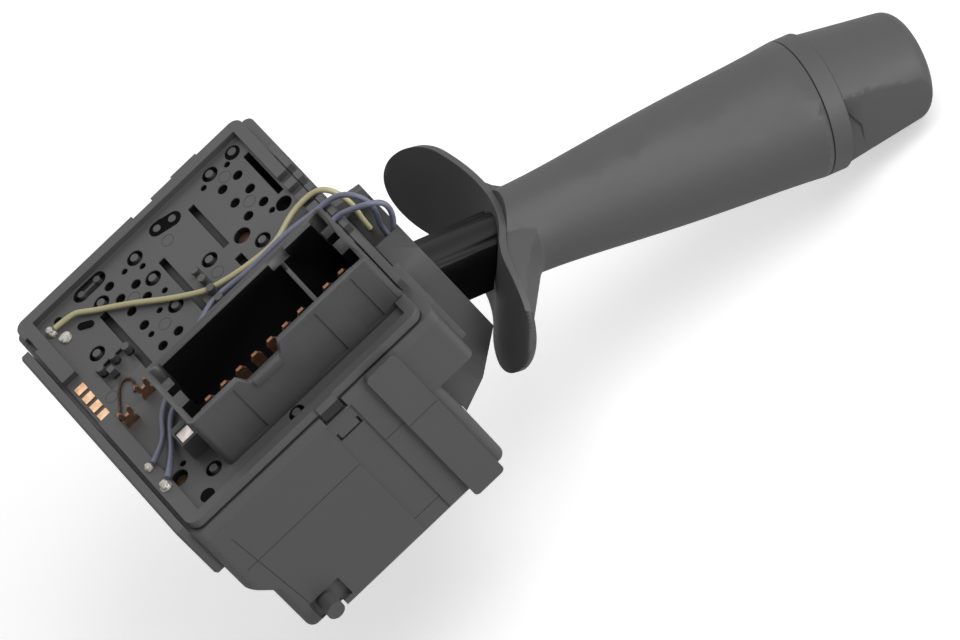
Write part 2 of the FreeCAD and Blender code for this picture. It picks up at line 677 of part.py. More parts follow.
def connector_shroud():
    body = new_body("connector_shroud")
    top = f"({PLATE_FLOOR} + shroud_rise)"
    block(body, "shroud_outline", ("shroud_left", SHROUD_RIGHT), (SHROUD_NEAR, SHROUD_FAR),
          (PLATE_FLOOR, top))
    fillet(body, "shroud_corners", upright, "shroud_wall")
    floor = f"({PLATE_FLOOR} + shroud_floor)"
    divider = "(shroud_left + divider_place)"
    bay_left = "(shroud_left + shroud_end_wall + 1.9)"
    bay_right = f"({SHROUD_RIGHT} - shroud_end_wall - 1.9)"
    bay = (f"{SHROUD_NEAR} + shroud_wall", f"{SHROUD_FAR} - shroud_wall - 0.9")
    cut_block(body, "large_bay", (bay_left, divider), bay, (floor, top))
    cut_block(body, "small_bay", (f"{divider} + divider_thick", bay_right), bay, (floor, top))
    cut_block(body, "divider_notch", (f"{divider} - 1.9", f"{divider} + divider_thick + 1.9"),
              (f"{SHROUD_FAR} - shroud_wall - 6.0", f"{SHROUD_FAR} - 1.0"), (f"{top} - 2.4", top))
    for name, reach, first, last in shroud_keys():
        edges = (f"{SHROUD_NEAR} + {first}", f"{SHROUD_NEAR} + {last}")
        cut_block(body, name, (f"shroud_left + {reach}", f"{bay_left} + 0.4"), edges, (floor, top))
        cut_block(body, "small_" + name, (f"{bay_right} - 0.4", f"{SHROUD_RIGHT} - {reach}"), edges,
                  (floor, top))
    latch = sketch(body, "XZ_Plane", "latch_notch", f"0 - {SHROUD_NEAR} + 1")
    middle = "(shroud_left + latch_place)"
    polygon(latch, (f"{middle} - latch_width / 2 - 1.5", top), (f"{middle} - latch_width / 2", f"{top} - latch_drop"),
            (f"{middle} + latch_width / 2", f"{top} - latch_drop"), (f"{middle} + latch_width / 2 + 1.5", top))
    pocket(body, latch, "shroud_wall + 1.2")
    catch = sketch(body, "XZ_Plane", "latch_catch", f"0 - {SHROUD_NEAR}")
    rectangle(catch, f"{middle} - latch_width * 0.42", f"{top} - latch_drop - 2.2",
              f"{middle} + latch_width * 0.42", f"{top} - latch_drop")
    pad(body, catch, "0.8")
    panel = sketch(body, "XZ_Plane", "near_panels", f"0 - {SHROUD_NEAR}")
    for start, end in (("6.3", "12.0"), ("27.5", "35.6"), ("41.2", "46.2")):
        rectangle(panel, f"shroud_left + {start}", f"{PLATE_FLOOR} + 0.8", f"shroud_left + {end}", f"{top} - 1.2")
    pocket(body, panel, "0.4")
    for name, place, step, count in (("blade_slot", "blade_place", "blade_pitch", "blade_count"),
                                     ("small_slot", "small_blade_place", "small_blade_pitch", "2")):
        middle = f"(shroud_left + {place})"
        half_width = "(blade_width / 2 + blade_clearance)"
        half_thick = "(blade_thick / 2 + blade_clearance)"
        slot = cut_block(body, name, (f"{middle} - {half_width}", f"{middle} + {half_width}"),
                         (f"{BLADE_LINE} - {half_thick}", f"{BLADE_LINE} + {half_thick}"),
                         (PLATE_FLOOR, floor))
        repeated(body, slot, name + "s", "X_Axis", step, count)


def blade_terminals():
    body = new_body("blade_terminals", loose=True)
    tip = f"({PLATE_FLOOR} + blade_rise)"
    for name, place, step, count in (("blade", "blade_place", "blade_pitch", "blade_count"),
                                     ("small_blade", "small_blade_place", "small_blade_pitch", "2")):
        middle = f"(shroud_left + {place})"
        face = sketch(body, "XZ_Plane", name, f"0 - {BLADE_LINE} + blade_thick / 2")
        polygon(face, (f"{middle} - blade_width / 2", PLATE_UNDER), (f"{middle} + blade_width / 2", PLATE_UNDER),
                (f"{middle} + blade_width / 2", f"{tip} - 1.2"), (f"{middle} + blade_width / 4", tip),
                (f"{middle} - blade_width / 4", tip), (f"{middle} - blade_width / 2", f"{tip} - 1.2"))
        blade = pad(body, face, "blade_thick", back=True)
        repeated(body, blade, name + "s", "X_Axis", step, count)


def lead_carrier():
    body = new_body("lead_carrier")
    edge = "(frame_border + 2 * step_clearance)"
    block(body, "carrier_plate", (edge, "pivot_place - journal_radius - bearing_wall - 2 * step_clearance"),
          (f"{NEAR_WALL} + {edge}", f"housing_width / 2 - {edge}"),
          (f"{PLATE_UNDER} - carrier_thick", PLATE_UNDER))
    stakes = sketch(body, "XY_Plane", "carrier_stakes", PLATE_UNDER)
    circles(stakes, [on_plate(place) for place in STAKES if place[0] < 55], "stake_radius")
    pad(body, stakes, f"{PLATE_FLOOR} - {PLATE_UNDER} + stake_head")


def contact_strips():
    body = new_body("contact_strips", loose=True)
    middle = "(pivot_place - arm_reach)"
    strip = block(body, "contact_strip", (f"{middle} - turn_slider_length", f"{middle} + turn_slider_length"),
                  ("pivot_side - strip_pitch - strip_width / 2", "pivot_side - strip_pitch + strip_width / 2"),
                  (STRIP_UNDER, f"{STRIP_UNDER} + strip_thick"))
    repeated(body, strip, "strip_row", "Y_Axis", "strip_pitch", "3")


def contact_studs():
    body = new_body("contact_studs", loose=True)
    discs = sketch(body, "XY_Plane", "stud_discs", PLATE_UNDER)
    circles(discs, [on_plate(place) for place in WINDOWS], "window_radius - loose_clearance")
    pad(body, discs, "stud_thick")


def edge_contacts():
    body = new_body("edge_contacts", loose=True)
    first = f"({NEAR_RIM} + 44.0)"
    contact = block(body, "edge_contact", ("rim_left + 0.8", "rim_left + left_lip - 0.4"),
                    (first, f"{first} + 2.3"), (PLATE_FLOOR, f"{PLATE_FLOOR} + stud_thick"))
    repeated(body, contact, "edge_row", "Y_Axis", "3.55", "4")


def fork_terminals():
    body = new_body("fork_terminals", loose=True)
    for name, place in (("left_fork", (5.9, 37.4)), ("right_fork", (12.5, 40.2))):
        x, y = on_plate(place)
        face = sketch(body, "XZ_Plane", name, f"0 - ({y}) + blade_thick / 2")
        outline = ((-1.7, 0), (1.7, 0), (1.7, 1.2), (1.1, 2.0), (1.7, 2.8), (1.7, 4.4), (1.2, 4.9), (0.8, 4.4),
                   (0.45, 3.0), (-0.45, 3.0), (-0.8, 4.4), (-1.2, 4.9), (-1.7, 4.4), (-1.7, 2.8), (-1.1, 2.0),
                   (-1.7, 1.2))
        polygon(face, *[(f"{x} + {across}", f"{PLATE_FLOOR} + {up}") for across, up in outline])
        pad(body, face, "blade_thick", back=True)


def window_block():
    body = new_body("window_block")
    left, near_edge = on_plate((10.3, 15.8))
    x = (left, "shroud_left - side_play")
    block(body, "window_body", x, (near_edge, f"{near_edge} + 6.2"), (PLATE_FLOOR, f"{PLATE_FLOOR} + 5.4"))
    cut_block(body, "window_recess", (f"{left} + 0.5", "shroud_left - side_play - 0.4"),
              (f"{near_edge} + 0.8", f"{near_edge} + 4.6"), (f"{PLATE_FLOOR} + 4.4", f"{PLATE_FLOOR} + 5.4"))


def window_contact():
    body = new_body("window_contact")
    left, near_edge = on_plate((10.3, 15.8))
    block(body, "bright_plate", (f"{left} + 0.6", "shroud_left - side_play - 0.5"),
          (f"{near_edge} + 0.9", f"{near_edge} + 4.5"), (f"{PLATE_FLOOR} + 4.4", f"{PLATE_FLOOR} + 5.0"))


def wire_retainers():
    """A bar in the plate's slot with mushroom posts that the leads run between."""
    body = new_body("wire_retainers")
    left, near_end = on_plate((36.6, 43.6))
    right, far_end = on_plate((38.4, 59.0))
    block(body, "post_bar", (f"{left} + side_play / 2", f"{right} - side_play / 2"),
          (f"{near_end} + side_play / 2", f"{far_end} - side_play / 2"), (PLATE_UNDER, PLATE_FLOOR))
    places = [(f"({left} + {right}) / 2", on_plate((0.0, far))[1]) for far in GUIDE_POSTS]
    stems = sketch(body, "XY_Plane", "post_stems", PLATE_FLOOR)
    circles(stems, places, "stake_radius * 0.7")
    pad(body, stems, "2 * lead_radius + post_gap")
    heads = sketch(body, "XY_Plane", "post_heads", f"{PLATE_FLOOR} + 2 * lead_radius + post_gap")
    circles(heads, places, "stake_radius")
    pad(body, heads, "post_head")


def solder_joints():
    body = new_body("solder_joints", loose=True)
    for name, place, radius, height in (("far_solder", (5.5, 75.3), "1.5", "1.5"),
                                        ("flux_pool", (7.0, 71.2), "1.6", "0.5"),
                                        ("edge_solder", (1.9, 21.8), "1.2", "1.0"),
                                        ("long_solder", (1.9, 14.2), "1.5", "1.1")):
        x, y = on_plate(place)
        level = PLATE_FLOOR if place[0] > 4 else RIM_TOP
        blob = sketch(body, "XY_Plane", name, level)
        circles(blob, ((x, y),), radius)
        feature = pad(body, blob, height)
        feature.TaperAngle = -25


def stalk_neck():
    """A funnel with a sloping floor, open above for the leads, and the lower bearing inside."""
    body = new_body("stalk_neck")
    start = "(foot_length - housing_wall)"
    section = sketch(body, "YZ_Plane", "neck_section", start)
    polygon(section, (NECK_NEAR, HOUSING_BOTTOM), (NECK_FAR, HOUSING_BOTTOM), (NECK_FAR, "neck_top"),
            (f"{NECK_NEAR} + neck_bevel", "neck_top"), (NECK_NEAR, "neck_top - neck_bevel_drop"))
    pad(body, section, f"{NECK_REACH} - {start}")
    under = sketch(body, "XZ_Plane", "neck_underside", f"0 - {NECK_NEAR}")
    lower = f"({HOUSING_BOTTOM} - housing_wall)"
    polygon(under, (f"{start}", lower), (f"{NECK_REACH} + neck_wall", lower),
            (f"{NECK_REACH} + neck_wall", f"{NECK_LIP} + neck_wall"), (NECK_FLOOR_REACH, NECK_FLOOR_END),
            ("foot_length + side_play / 2", NECK_FLOOR_START),
            ("foot_length + side_play / 2", f"{HOUSING_FLOOR} + side_play / 2"),
            (start, f"{HOUSING_FLOOR} + side_play / 2"))
    pocket(body, under, "neck_near + neck_far")
    hollow = sketch(body, "YZ_Plane", "neck_hollow", start)
    inner_floor = f"({NECK_FLOOR_END} + neck_wall)"
    inside = (f"({NECK_NEAR} + neck_wall)", f"({NECK_FAR} - neck_wall)")
    polygon(hollow, (inside[0], inner_floor), (inside[1], inner_floor), (inside[1], "neck_top - neck_wall"),
            (f"{inside[0]} + neck_bevel - 0.5", "neck_top - neck_wall"),
            (inside[0], "neck_top - neck_wall - neck_bevel_drop + 0.7"))
    pocket(body, hollow, f"{NECK_REACH} - {start}", ahead=True)
    slope = sketch(body, "XZ_Plane", "neck_slope", f"0 - {inside[0]}")
    polygon(slope, (start, inner_floor), (start, f"{NECK_FLOOR_START} + 2 * neck_wall"),
            ("foot_length + neck_wall", f"{NECK_FLOOR_START} + 2 * neck_wall"),
            (NECK_FLOOR_REACH, inner_floor))
    pocket(body, slope, f"{inside[1]} - {inside[0]}")
    cut_block(body, "bearing_clearance", (start, "block_length + side_play"),
              inside, ("neck_top - neck_wall", "neck_top"))
    cut_block(body, "lead_opening", ("block_length", NECK_REACH),
              ("pivot_side - lead_notch_near", inside[1]), ("neck_top - neck_wall", "neck_top"))
    far_edge = sketch(body, "XZ_Plane", "far_wall_slope", f"0 - {inside[1]}")
    polygon(far_edge, ("block_length", "neck_top + neck_wall"), ("block_length", "neck_top"),
            (NECK_REACH, "neck_top - 0.8 * neck_wall"), (NECK_REACH, "neck_top + neck_wall"))
    pocket(body, far_edge, "neck_wall")
    boss = sketch(body, "XY_Plane", "lower_bearing", f"{SILL_UNDER} - loose_clearance")
    circles(boss, (("pivot_place", "pivot_side"),), "journal_radius + bearing_wall")
    pad(body, boss, f"{SILL_UNDER} - loose_clearance - {HOUSING_FLOOR} - side_play", back=True)
    bore = sketch(body, "XY_Plane", "lower_bore", f"{SILL_UNDER} - loose_clearance")
    circles(bore, (("pivot_place", "pivot_side"),), "journal_radius + running_clearance")
    pocket(body, bore, "2.2 * journal_radius")


def lead_guide():
    """A bar across the neck's opening, with a hole for the end of each lead."""
    body = new_body("lead_guide")
    x = ("block_length + side_play / 2", "block_length + side_play / 2 + guide_bar_length")
    block(body, "guide_bar", x, ("pivot_side - lead_notch_near + side_play", f"{NECK_FAR} - neck_wall"),
          ("guide_bar_top - guide_bar_thick", "guide_bar_top"))
    holes = sketch(body, "XY_Plane", "lead_holes", "guide_bar_top")
    circles(holes, [(f"{lead['points'][-1][0]}", f"{lead['points'][-1][1]}") for lead in LEADS],
            "lead_radius + running_clearance")
    pocket(body, holes, "guide_bar_thick")


def switch_floor():
    body = new_body("switch_floor")
    level = "floor_plate_height"
    left = "(end_step_depth + housing_wall + side_play)"
    half = "(housing_width / 2 - housing_wall - side_play)"
    block(body, "floor_plate", (left, f"{left} + floor_plate_length"), (f"0 - {half}", half),
          (level, f"{level} + floor_plate_thick"))
    reach = "(pivot_place - tail_reach - ball_radius - dimmer_back)"
    half_guide = "(dimmer_width / 2 + loose_clearance)"
    channel = sketch(body, "XY_Plane", "dimmer_channel", f"{level} + floor_plate_thick")
    back = f"({reach} - loose_clearance)"
    polygon(channel, (f"{back} - 2.5", f"pivot_side - {half_guide} - 2"),
            (f"{back} + 2.0", f"pivot_side - {half_guide} - 2"), (f"{back} + 2.0", f"pivot_side - {half_guide}"),
            (back, f"pivot_side - {half_guide}"), (back, f"pivot_side + {half_guide}"),
            (f"{back} + 2.0", f"pivot_side + {half_guide}"), (f"{back} + 2.0", f"pivot_side + {half_guide} + 2"),
            (f"{back} - 2.5", f"pivot_side + {half_guide} + 2"))
    pad(body, channel, f"{BRIDGE_UNDER} - 1.5 * loose_clearance - {level} - floor_plate_thick")


def detent_block():
    """A block on the housing's floor with a curved track and three notches."""
    body = new_body("detent_block")
    front = "(pivot_place - track_radius * 0.88)"
    level = HOUSING_FLOOR
    top = "(floor_plate_height - side_play)"
    block(body, "detent_lump", (f"{front} - detent_thick", front),
          ("pivot_side - detent_width / 2", "pivot_side + detent_width / 2"), (level, top))
    track = sketch(body, "XY_Plane", "detent_track", top)
    circles(track, (("pivot_place", "pivot_side"),), "track_radius")
    pocket(body, track, f"{top} - {level}")
    notches = sketch(body, "XY_Plane", "detent_notches", top)
    turns = ("180", "180 - notch_angle", "180 + notch_angle")
    circles(notches, [(f"pivot_place + track_radius * cos({turn})", f"pivot_side + track_radius * sin({turn})")
                      for turn in turns], "notch_radius")
    pocket(body, notches, f"{top} - {level}")


def turn_yoke():
    body = new_body("turn_yoke")
    inner, outer = CHEEK_INSIDE, CHEEK_OUTSIDE
    front = sketch(body, "YZ_Plane", "yoke_front", "pivot_place - cheek_length / 2")
    polygon(front, (f"pivot_side - {outer}", SILL_UNDER), (f"pivot_side + {outer}", SILL_UNDER),
            (f"pivot_side + {outer}", BRIDGE_TOP), (f"pivot_side - {outer}", BRIDGE_TOP))
    polygon(front, (f"pivot_side - {inner}", SILL_TOP), (f"pivot_side + {inner}", SILL_TOP),
            (f"pivot_side + {inner}", BRIDGE_UNDER), (f"pivot_side - {inner}", BRIDGE_UNDER))
    pad(body, front, "cheek_length")
    centre = (("pivot_place", "pivot_side"),)
    upper = sketch(body, "XY_Plane", "upper_journal", BRIDGE_TOP)
    circles(upper, centre, "journal_radius")
    pad(body, upper, f"seam_height - loose_clearance - {BRIDGE_TOP}")
    lower = sketch(body, "XY_Plane", "lower_journal", SILL_UNDER)
    circles(lower, centre, "journal_radius")
    pad(body, lower, "2 * journal_radius", back=True)
    arm = sketch(body, "XY_Plane", "contact_arm", BRIDGE_UNDER)
    belt(arm, ("pivot_place - arm_reach", "pivot_side"), "arm_width * 0.45",
         ("pivot_place - cheek_length / 2 + arm_width * 0.45", "pivot_side"), "arm_width / 2 + cheek_thick")
    pad(body, arm, "bridge_thick")
    pin = sketch(body, "XY_Plane", "drive_pin", BRIDGE_TOP)
    circles(pin, (("pivot_place - arm_reach", "pivot_side"),), "drive_pin_radius")
    pad(body, pin, "loose_clearance + turn_slider_thick * 0.8")
    sill = (f"{SILL_UNDER}", SILL_TOP)
    block(body, "detent_arm", ("pivot_place - detent_reach", "pivot_place - cheek_length / 2"),
          ("pivot_side - arm_width / 2", "pivot_side + arm_width / 2"), sill)
    middle = f"(({SILL_UNDER} + {SILL_TOP}) / 2)"
    block(body, "plunger_housing", ("pivot_place - detent_reach - detent_height * 0.6",
                                    "pivot_place - detent_reach + detent_height * 0.5"),
          ("pivot_side - detent_height / 2", "pivot_side + detent_height / 2"),
          (f"{middle} - detent_height / 2", f"{middle} + detent_height / 2 - loose_clearance"))
    bore = sketch(body, "YZ_Plane", "plunger_bore", "pivot_place - detent_reach - detent_height * 0.6")
    circles(bore, (("pivot_side", middle),), "plunger_radius + running_clearance")
    pocket(body, bore, "detent_height * 0.9", ahead=True)
    cross = sketch(body, "XZ_Plane", "cross_bore", f"0 - pivot_side + {outer}")
    circles(cross, (("pivot_place", "pivot_height"),), "cross_pin_radius")
    pocket(body, cross, f"2 * {outer}")


def cross_pin():
    body = new_body("cross_pin")
    drawing = sketch(body, "XZ_Plane", "pin_section", f"0 - pivot_side + {CHEEK_OUTSIDE}")
    circles(drawing, (("pivot_place", "pivot_height"),), "cross_pin_radius")
    pad(body, drawing, f"2 * {CHEEK_OUTSIDE}", back=True)


def detent_plunger():
    """A round-nosed plunger lying along X in the yoke's bore."""
    body = new_body("detent_plunger")
    middle = f"(({SILL_UNDER} + {SILL_TOP}) / 2)"
    mouth = "(pivot_place - detent_reach - detent_height * 0.6)"
    nose = f"({mouth} - plunger_proud)"
    shape = sketch(body, "XZ_Plane", "plunger_section", "0 - pivot_side")
    polygon(shape, (nose, middle), (nose, f"{middle} + plunger_radius * 0.4"),
            (f"{nose} + plunger_radius * 0.7", f"{middle} + plunger_radius"),
            (f"{mouth} + detent_height * 0.35", f"{middle} + plunger_radius"),
            (f"{mouth} + detent_height * 0.35", middle))
    feature = body.newObject("PartDesign::Revolution", "plunger_turned")
    feature.Profile = shape
    feature.ReferenceAxis = (shape, ["Edge5"])
    feature.Angle = 360


def coil(name, place, turn_radius, length, turns, tilt):
    """A closed-wound spring as a swept helix, in a piece of its own."""
    wire = value("spring_wire")
    helix = Part.makeHelix(length / turns, length, turn_radius)
    start = FreeCAD.Vector(turn_radius, 0, 0)
    circle = Part.Wire(Part.makeCircle(wire, start, Y_AXIS))
    shape = Part.Wire(helix).makePipeShell([circle], True, True)
    spring = doc.addObject("Part::Feature", name)
    spring.Label = name
    spring.Shape = shape
    spring.Placement = FreeCAD.Placement(place, tilt)
    PIECES.append(spring)
    return spring


def detent_spring():
    middle = value(f"({SILL_UNDER} + {SILL_TOP}) / 2")
    start = value("rail_proud + pivot_place - detent_reach - detent_height * 0.25") + 2 * value("spring_wire")
    end = value("rail_proud + pivot_place - detent_reach + detent_height * 0.3") - 2 * value("spring_wire")
    coil("detent_spring", FreeCAD.Vector(start, value("pivot_side"), middle),
         value("plunger_radius - 1.5 * spring_wire"), end - start, 3, FreeCAD.Rotation(Y_AXIS, 90))


def turn_slider():
    body = new_body("turn_slider")
    middle = "(pivot_place - arm_reach)"
    half_long, half_wide = "turn_slider_length / 2", "turn_slider_width / 2"
    block(body, "slider_body", (f"{middle} - {half_long}", f"{middle} + {half_long}"),
          (f"pivot_side - {half_wide}", f"pivot_side + {half_wide}"), (SLIDER_UNDER, SLIDER_TOP))
    fillet(body, "slider_corners", upright, "corner_round / 2")
    slot = sketch(body, "XY_Plane", "pin_slot", SLIDER_TOP)
    reach = "(slider_slot_length / 2 - drive_pin_radius)"
    belt(slot, (f"{middle} - {reach}", "pivot_side"), "drive_pin_radius + running_clearance",
         (f"{middle} + {reach}", "pivot_side"), "drive_pin_radius + running_clearance")
    pocket(body, slot, "turn_slider_thick")


def turn_bridge():
    body = new_body("turn_bridge", loose=True)
    middle = "(pivot_place - arm_reach)"
    inner = "(drive_pin_radius + running_clearance + 0.6)"
    block(body, "bridge_leaf_near", (f"{middle} - strip_pitch / 2", f"{middle} + strip_pitch / 2"),
          ("pivot_side - turn_slider_width / 2 + 0.6", f"pivot_side - {inner}"),
          (SLIDER_TOP, f"{SLIDER_TOP} + bridge_leaf"))
    block(body, "bridge_leaf_far", (f"{middle} - strip_pitch / 2", f"{middle} + strip_pitch / 2"),
          (f"pivot_side + {inner}", f"pivot_side + turn_slider_width / 2 - 0.6"),
          (SLIDER_TOP, f"{SLIDER_TOP} + bridge_leaf"))


def dimmer_slider():
    body = new_body("dimmer_slider")
    ball = "(pivot_place - tail_reach)"
    back = f"({ball} - ball_radius - loose_clearance)"
    half = "(ball_radius + running_clearance)"
    section = sketch(body, "XZ_Plane", "slider_section", "dimmer_width / 2 - pivot_side")
    polygon(section, (f"{back} - dimmer_back + loose_clearance", f"pivot_height - {half} - dimmer_lip"),
            (f"{ball} + ball_radius / 2", f"pivot_height - {half} - dimmer_lip"),
            (f"{ball} + ball_radius / 2", f"pivot_height - {half}"), (back, f"pivot_height - {half}"),
            (back, f"pivot_height + {half}"), (f"{ball} + ball_radius / 2", f"pivot_height + {half}"),
            (f"{ball} + ball_radius / 2", f"pivot_height + {half} + dimmer_lip"),
            (f"{back} - dimmer_back + loose_clearance", f"pivot_height + {half} + dimmer_lip"))
    pad(body, section, "dimmer_width", back=True)


def dimmer_bridge():
    """The contact leaf on the dimmer slider's top."""
    body = new_body("dimmer_bridge")
    ball = "(pivot_place - tail_reach)"
    top = "(pivot_height + ball_radius + running_clearance + dimmer_lip)"
    block(body, "dimmer_leaf", (f"{ball} - ball_radius - 0.5", f"{ball} + 0.5"),
          ("pivot_side - dimmer_width * 0.35", "pivot_side + dimmer_width * 0.35"),
          (top, f"{top} + bridge_leaf"))


def tilted(along, across):
    """A place in the stalk's upright plane, along and across the direction away from the stalk."""
    return (f"({along}) * sin(stalk_tilt) + ({across}) * cos(stalk_tilt)",
            f"({across}) * sin(stalk_tilt) - ({along}) * cos(stalk_tilt)")


def stalk_root():
    body = on_stalk(new_body("stalk_root"))
    half = "(root_side / 2)"
    shank_end = "(leaf_apex + 2 * leaf_thick)"
    shank = sketch(body, "XY_Plane", "shank_section", "root_start")
    rectangle(shank, "0 - root_above", f"0 - {half}", "root_below", half)
    pad(body, shank, f"{shank_end} - root_start")
    end = leaf_sketch(body, "shank_end")
    leaf_profile(end, "0 - loose_clearance", f"{shank_end} + {LEAF_SWEEP}")
    pocket(body, end, f"2 * {LEAF_SWEEP}", ahead=True)
    barrel = sketch(body, "XZ_Plane", "pivot_barrel", half)
    circles(barrel, (("0", "0"),), "bridge_height - 0.5")
    pad(body, barrel, "root_side", back=True)
    tail = sketch(body, "XZ_Plane", "tail_outline", "tail_side")
    polygon(tail, tilted("bridge_height - 2", "0 - tail_side"), tilted("tail_reach", "0 - tail_side"),
            tilted("tail_reach", "tail_side"), tilted("bridge_height - 2", "tail_side"))
    pad(body, tail, "2 * tail_side", back=True)
    ball = body.newObject("PartDesign::AdditiveSphere", "tail_ball")
    bind(ball, "Radius", "ball_radius")
    across, along = tilted("tail_reach", "0")
    bind(ball, ".Placement.Base.x", across)
    bind(ball, ".Placement.Base.z", along)
    bore = sketch(body, "XZ_Plane", "pivot_bore", half)
    circles(bore, (("0", "0"),), "cross_pin_radius + running_clearance")
    pocket(body, bore, "root_side")
    spigot = sketch(body, "XY_Plane", "root_spigot", "root_start")
    circles(spigot, (("0", "0"),), "spigot_radius")
    pad(body, spigot, "handle_start + spigot_length - root_start")


def leaned(drawing, role):
    """Leans a sketch about the stalk's sideways axis, so that it lies square to the leaf."""
    turn = FreeCAD.Rotation(X_AXIS if role == "YZ_Plane" else Y_AXIS, value("leaf_tilt"))
    drawing.AttachmentOffset = FreeCAD.Placement(drawing.AttachmentOffset.Base, turn)
    bind(drawing, ".AttachmentOffset.Rotation.Angle", "leaf_tilt")
    return drawing


def leaf_sketch(body, name):
    """A sketch across the leaf's width, at one end of its sweep."""
    drawing = leaned(sketch(body, "YZ_Plane", name, f"0 - {LEAF_SWEEP} * cos(leaf_tilt)"), "YZ_Plane")
    bind(drawing, ".AttachmentOffset.Base.y", f"{LEAF_SWEEP} * sin(leaf_tilt)")
    return drawing


def leaf_profile(drawing, outward, foot):
    """An area bounded by the leaf's face, moved outwards: a far bend, a near bend and a return bend."""
    far, close = f"(leaf_far_bend + {outward})", f"(leaf_near_bend + {outward})"
    turning = f"(leaf_return_bend - {outward})"
    reach = "(leaf_near_bend + leaf_return_bend)"
    ends = ("leaf_far_reach + 1", "0 - leaf_near_reach - 1")
    middles = (("leaf_apex_side", "leaf_apex - leaf_far_bend"), ("leaf_apex_side", "leaf_apex - leaf_near_bend"),
               (f"leaf_apex_side - {reach} * sin(leaf_near_slope)",
                f"leaf_apex - leaf_near_bend + {reach} * cos(leaf_near_slope)"))
    slope = math.radians(value("leaf_near_slope"))
    centres = [FreeCAD.Vector(value(x), value(y), 0) for x, y in middles]
    angles = ((math.acos((value(ends[0]) - centres[0].x) / value(far)), math.pi / 2),
              (math.pi / 2, math.pi / 2 + slope),
              (-math.acos((value(ends[1]) - centres[2].x) / value(turning)), slope - math.pi / 2))
    arcs = [Part.ArcOfCircle(Part.Circle(centre, Z_AXIS, value(radius)), *turn)
            for centre, radius, turn in zip(centres, (far, close, turning), angles)]
    feet = [FreeCAD.Vector(value(end), value(foot), 0) for end in ends]
    drawing.addGeometry(arcs + [Part.LineSegment(arcs[2].StartPoint, feet[1]), Part.LineSegment(*feet[::-1]),
                                Part.LineSegment(feet[0], arcs[0].StartPoint)])
    rules = [("Radius", 0, far)]
    for piece, middle in enumerate(middles):
        rules += held(piece, 3, *middle)
    rules += [("DistanceX", -1, 1, 0, 2, "leaf_apex_side"), ("Coincident", 0, 2, 1, 1, None),
              ("DistanceX", -1, 1, 0, 1, ends[0]), ("DistanceX", -1, 1, 2, 1, ends[1]),
              ("DistanceX", -1, 1, 1, 2, f"leaf_apex_side - {close} * sin(leaf_near_slope)"),
              ("Coincident", 1, 2, 2, 2, None), ("Coincident", 2, 1, 3, 1, None),
              ("Coincident", 3, 2, 4, 1, None), ("Coincident", 4, 2, 5, 1, None),
              ("Coincident", 5, 2, 0, 1, None)]
    rules += held(4, 1, ends[1], foot) + held(4, 2, ends[0], foot)
    constrain(drawing, rules)


def leaf_margin(body, name, inset):
    """Cuts away all that lies outside the leaf's outline, drawn in by an inset."""
    leaf = leaned(sketch(body, "XY_Plane", name, "root_start * cos(leaf_tilt)"), "XY_Plane")
    wide = f"(2 * {LEAF_SWEEP})"
    rectangle(leaf, f"0 - {wide}", f"0 - {wide}", wide, wide)
    belt(leaf, ("leaf_near_drop", "0 - leaf_near_reach + leaf_near_radius"), f"leaf_near_radius - {inset}",
         ("0 - leaf_far_rise", "leaf_far_reach - leaf_far_radius"), f"leaf_far_radius - {inset}")
    pocket(body, leaf, "2 * leaf_apex", ahead=True)


def cover_flange():
    """A thin leaf bent to an S, with a broad lobe on each side of the stalk."""
    body = on_stalk(new_body("cover_flange"))
    outer = leaf_sketch(body, "leaf_outer")
    leaf_profile(outer, "leaf_thick", "root_start")
    pad(body, outer, f"2 * {LEAF_SWEEP}")
    inner = leaf_sketch(body, "leaf_inner")
    leaf_profile(inner, "0", "root_start")
    pocket(body, inner, f"2 * {LEAF_SWEEP}", ahead=True)
    leaf_margin(body, "leaf_outline", "0")
    hole = sketch(body, "XY_Plane", "spigot_hole", "leaf_apex + 4 * leaf_thick")
    circles(hole, (("0", "0"),), "spigot_radius + running_clearance")
    pocket(body, hole, "leaf_apex")


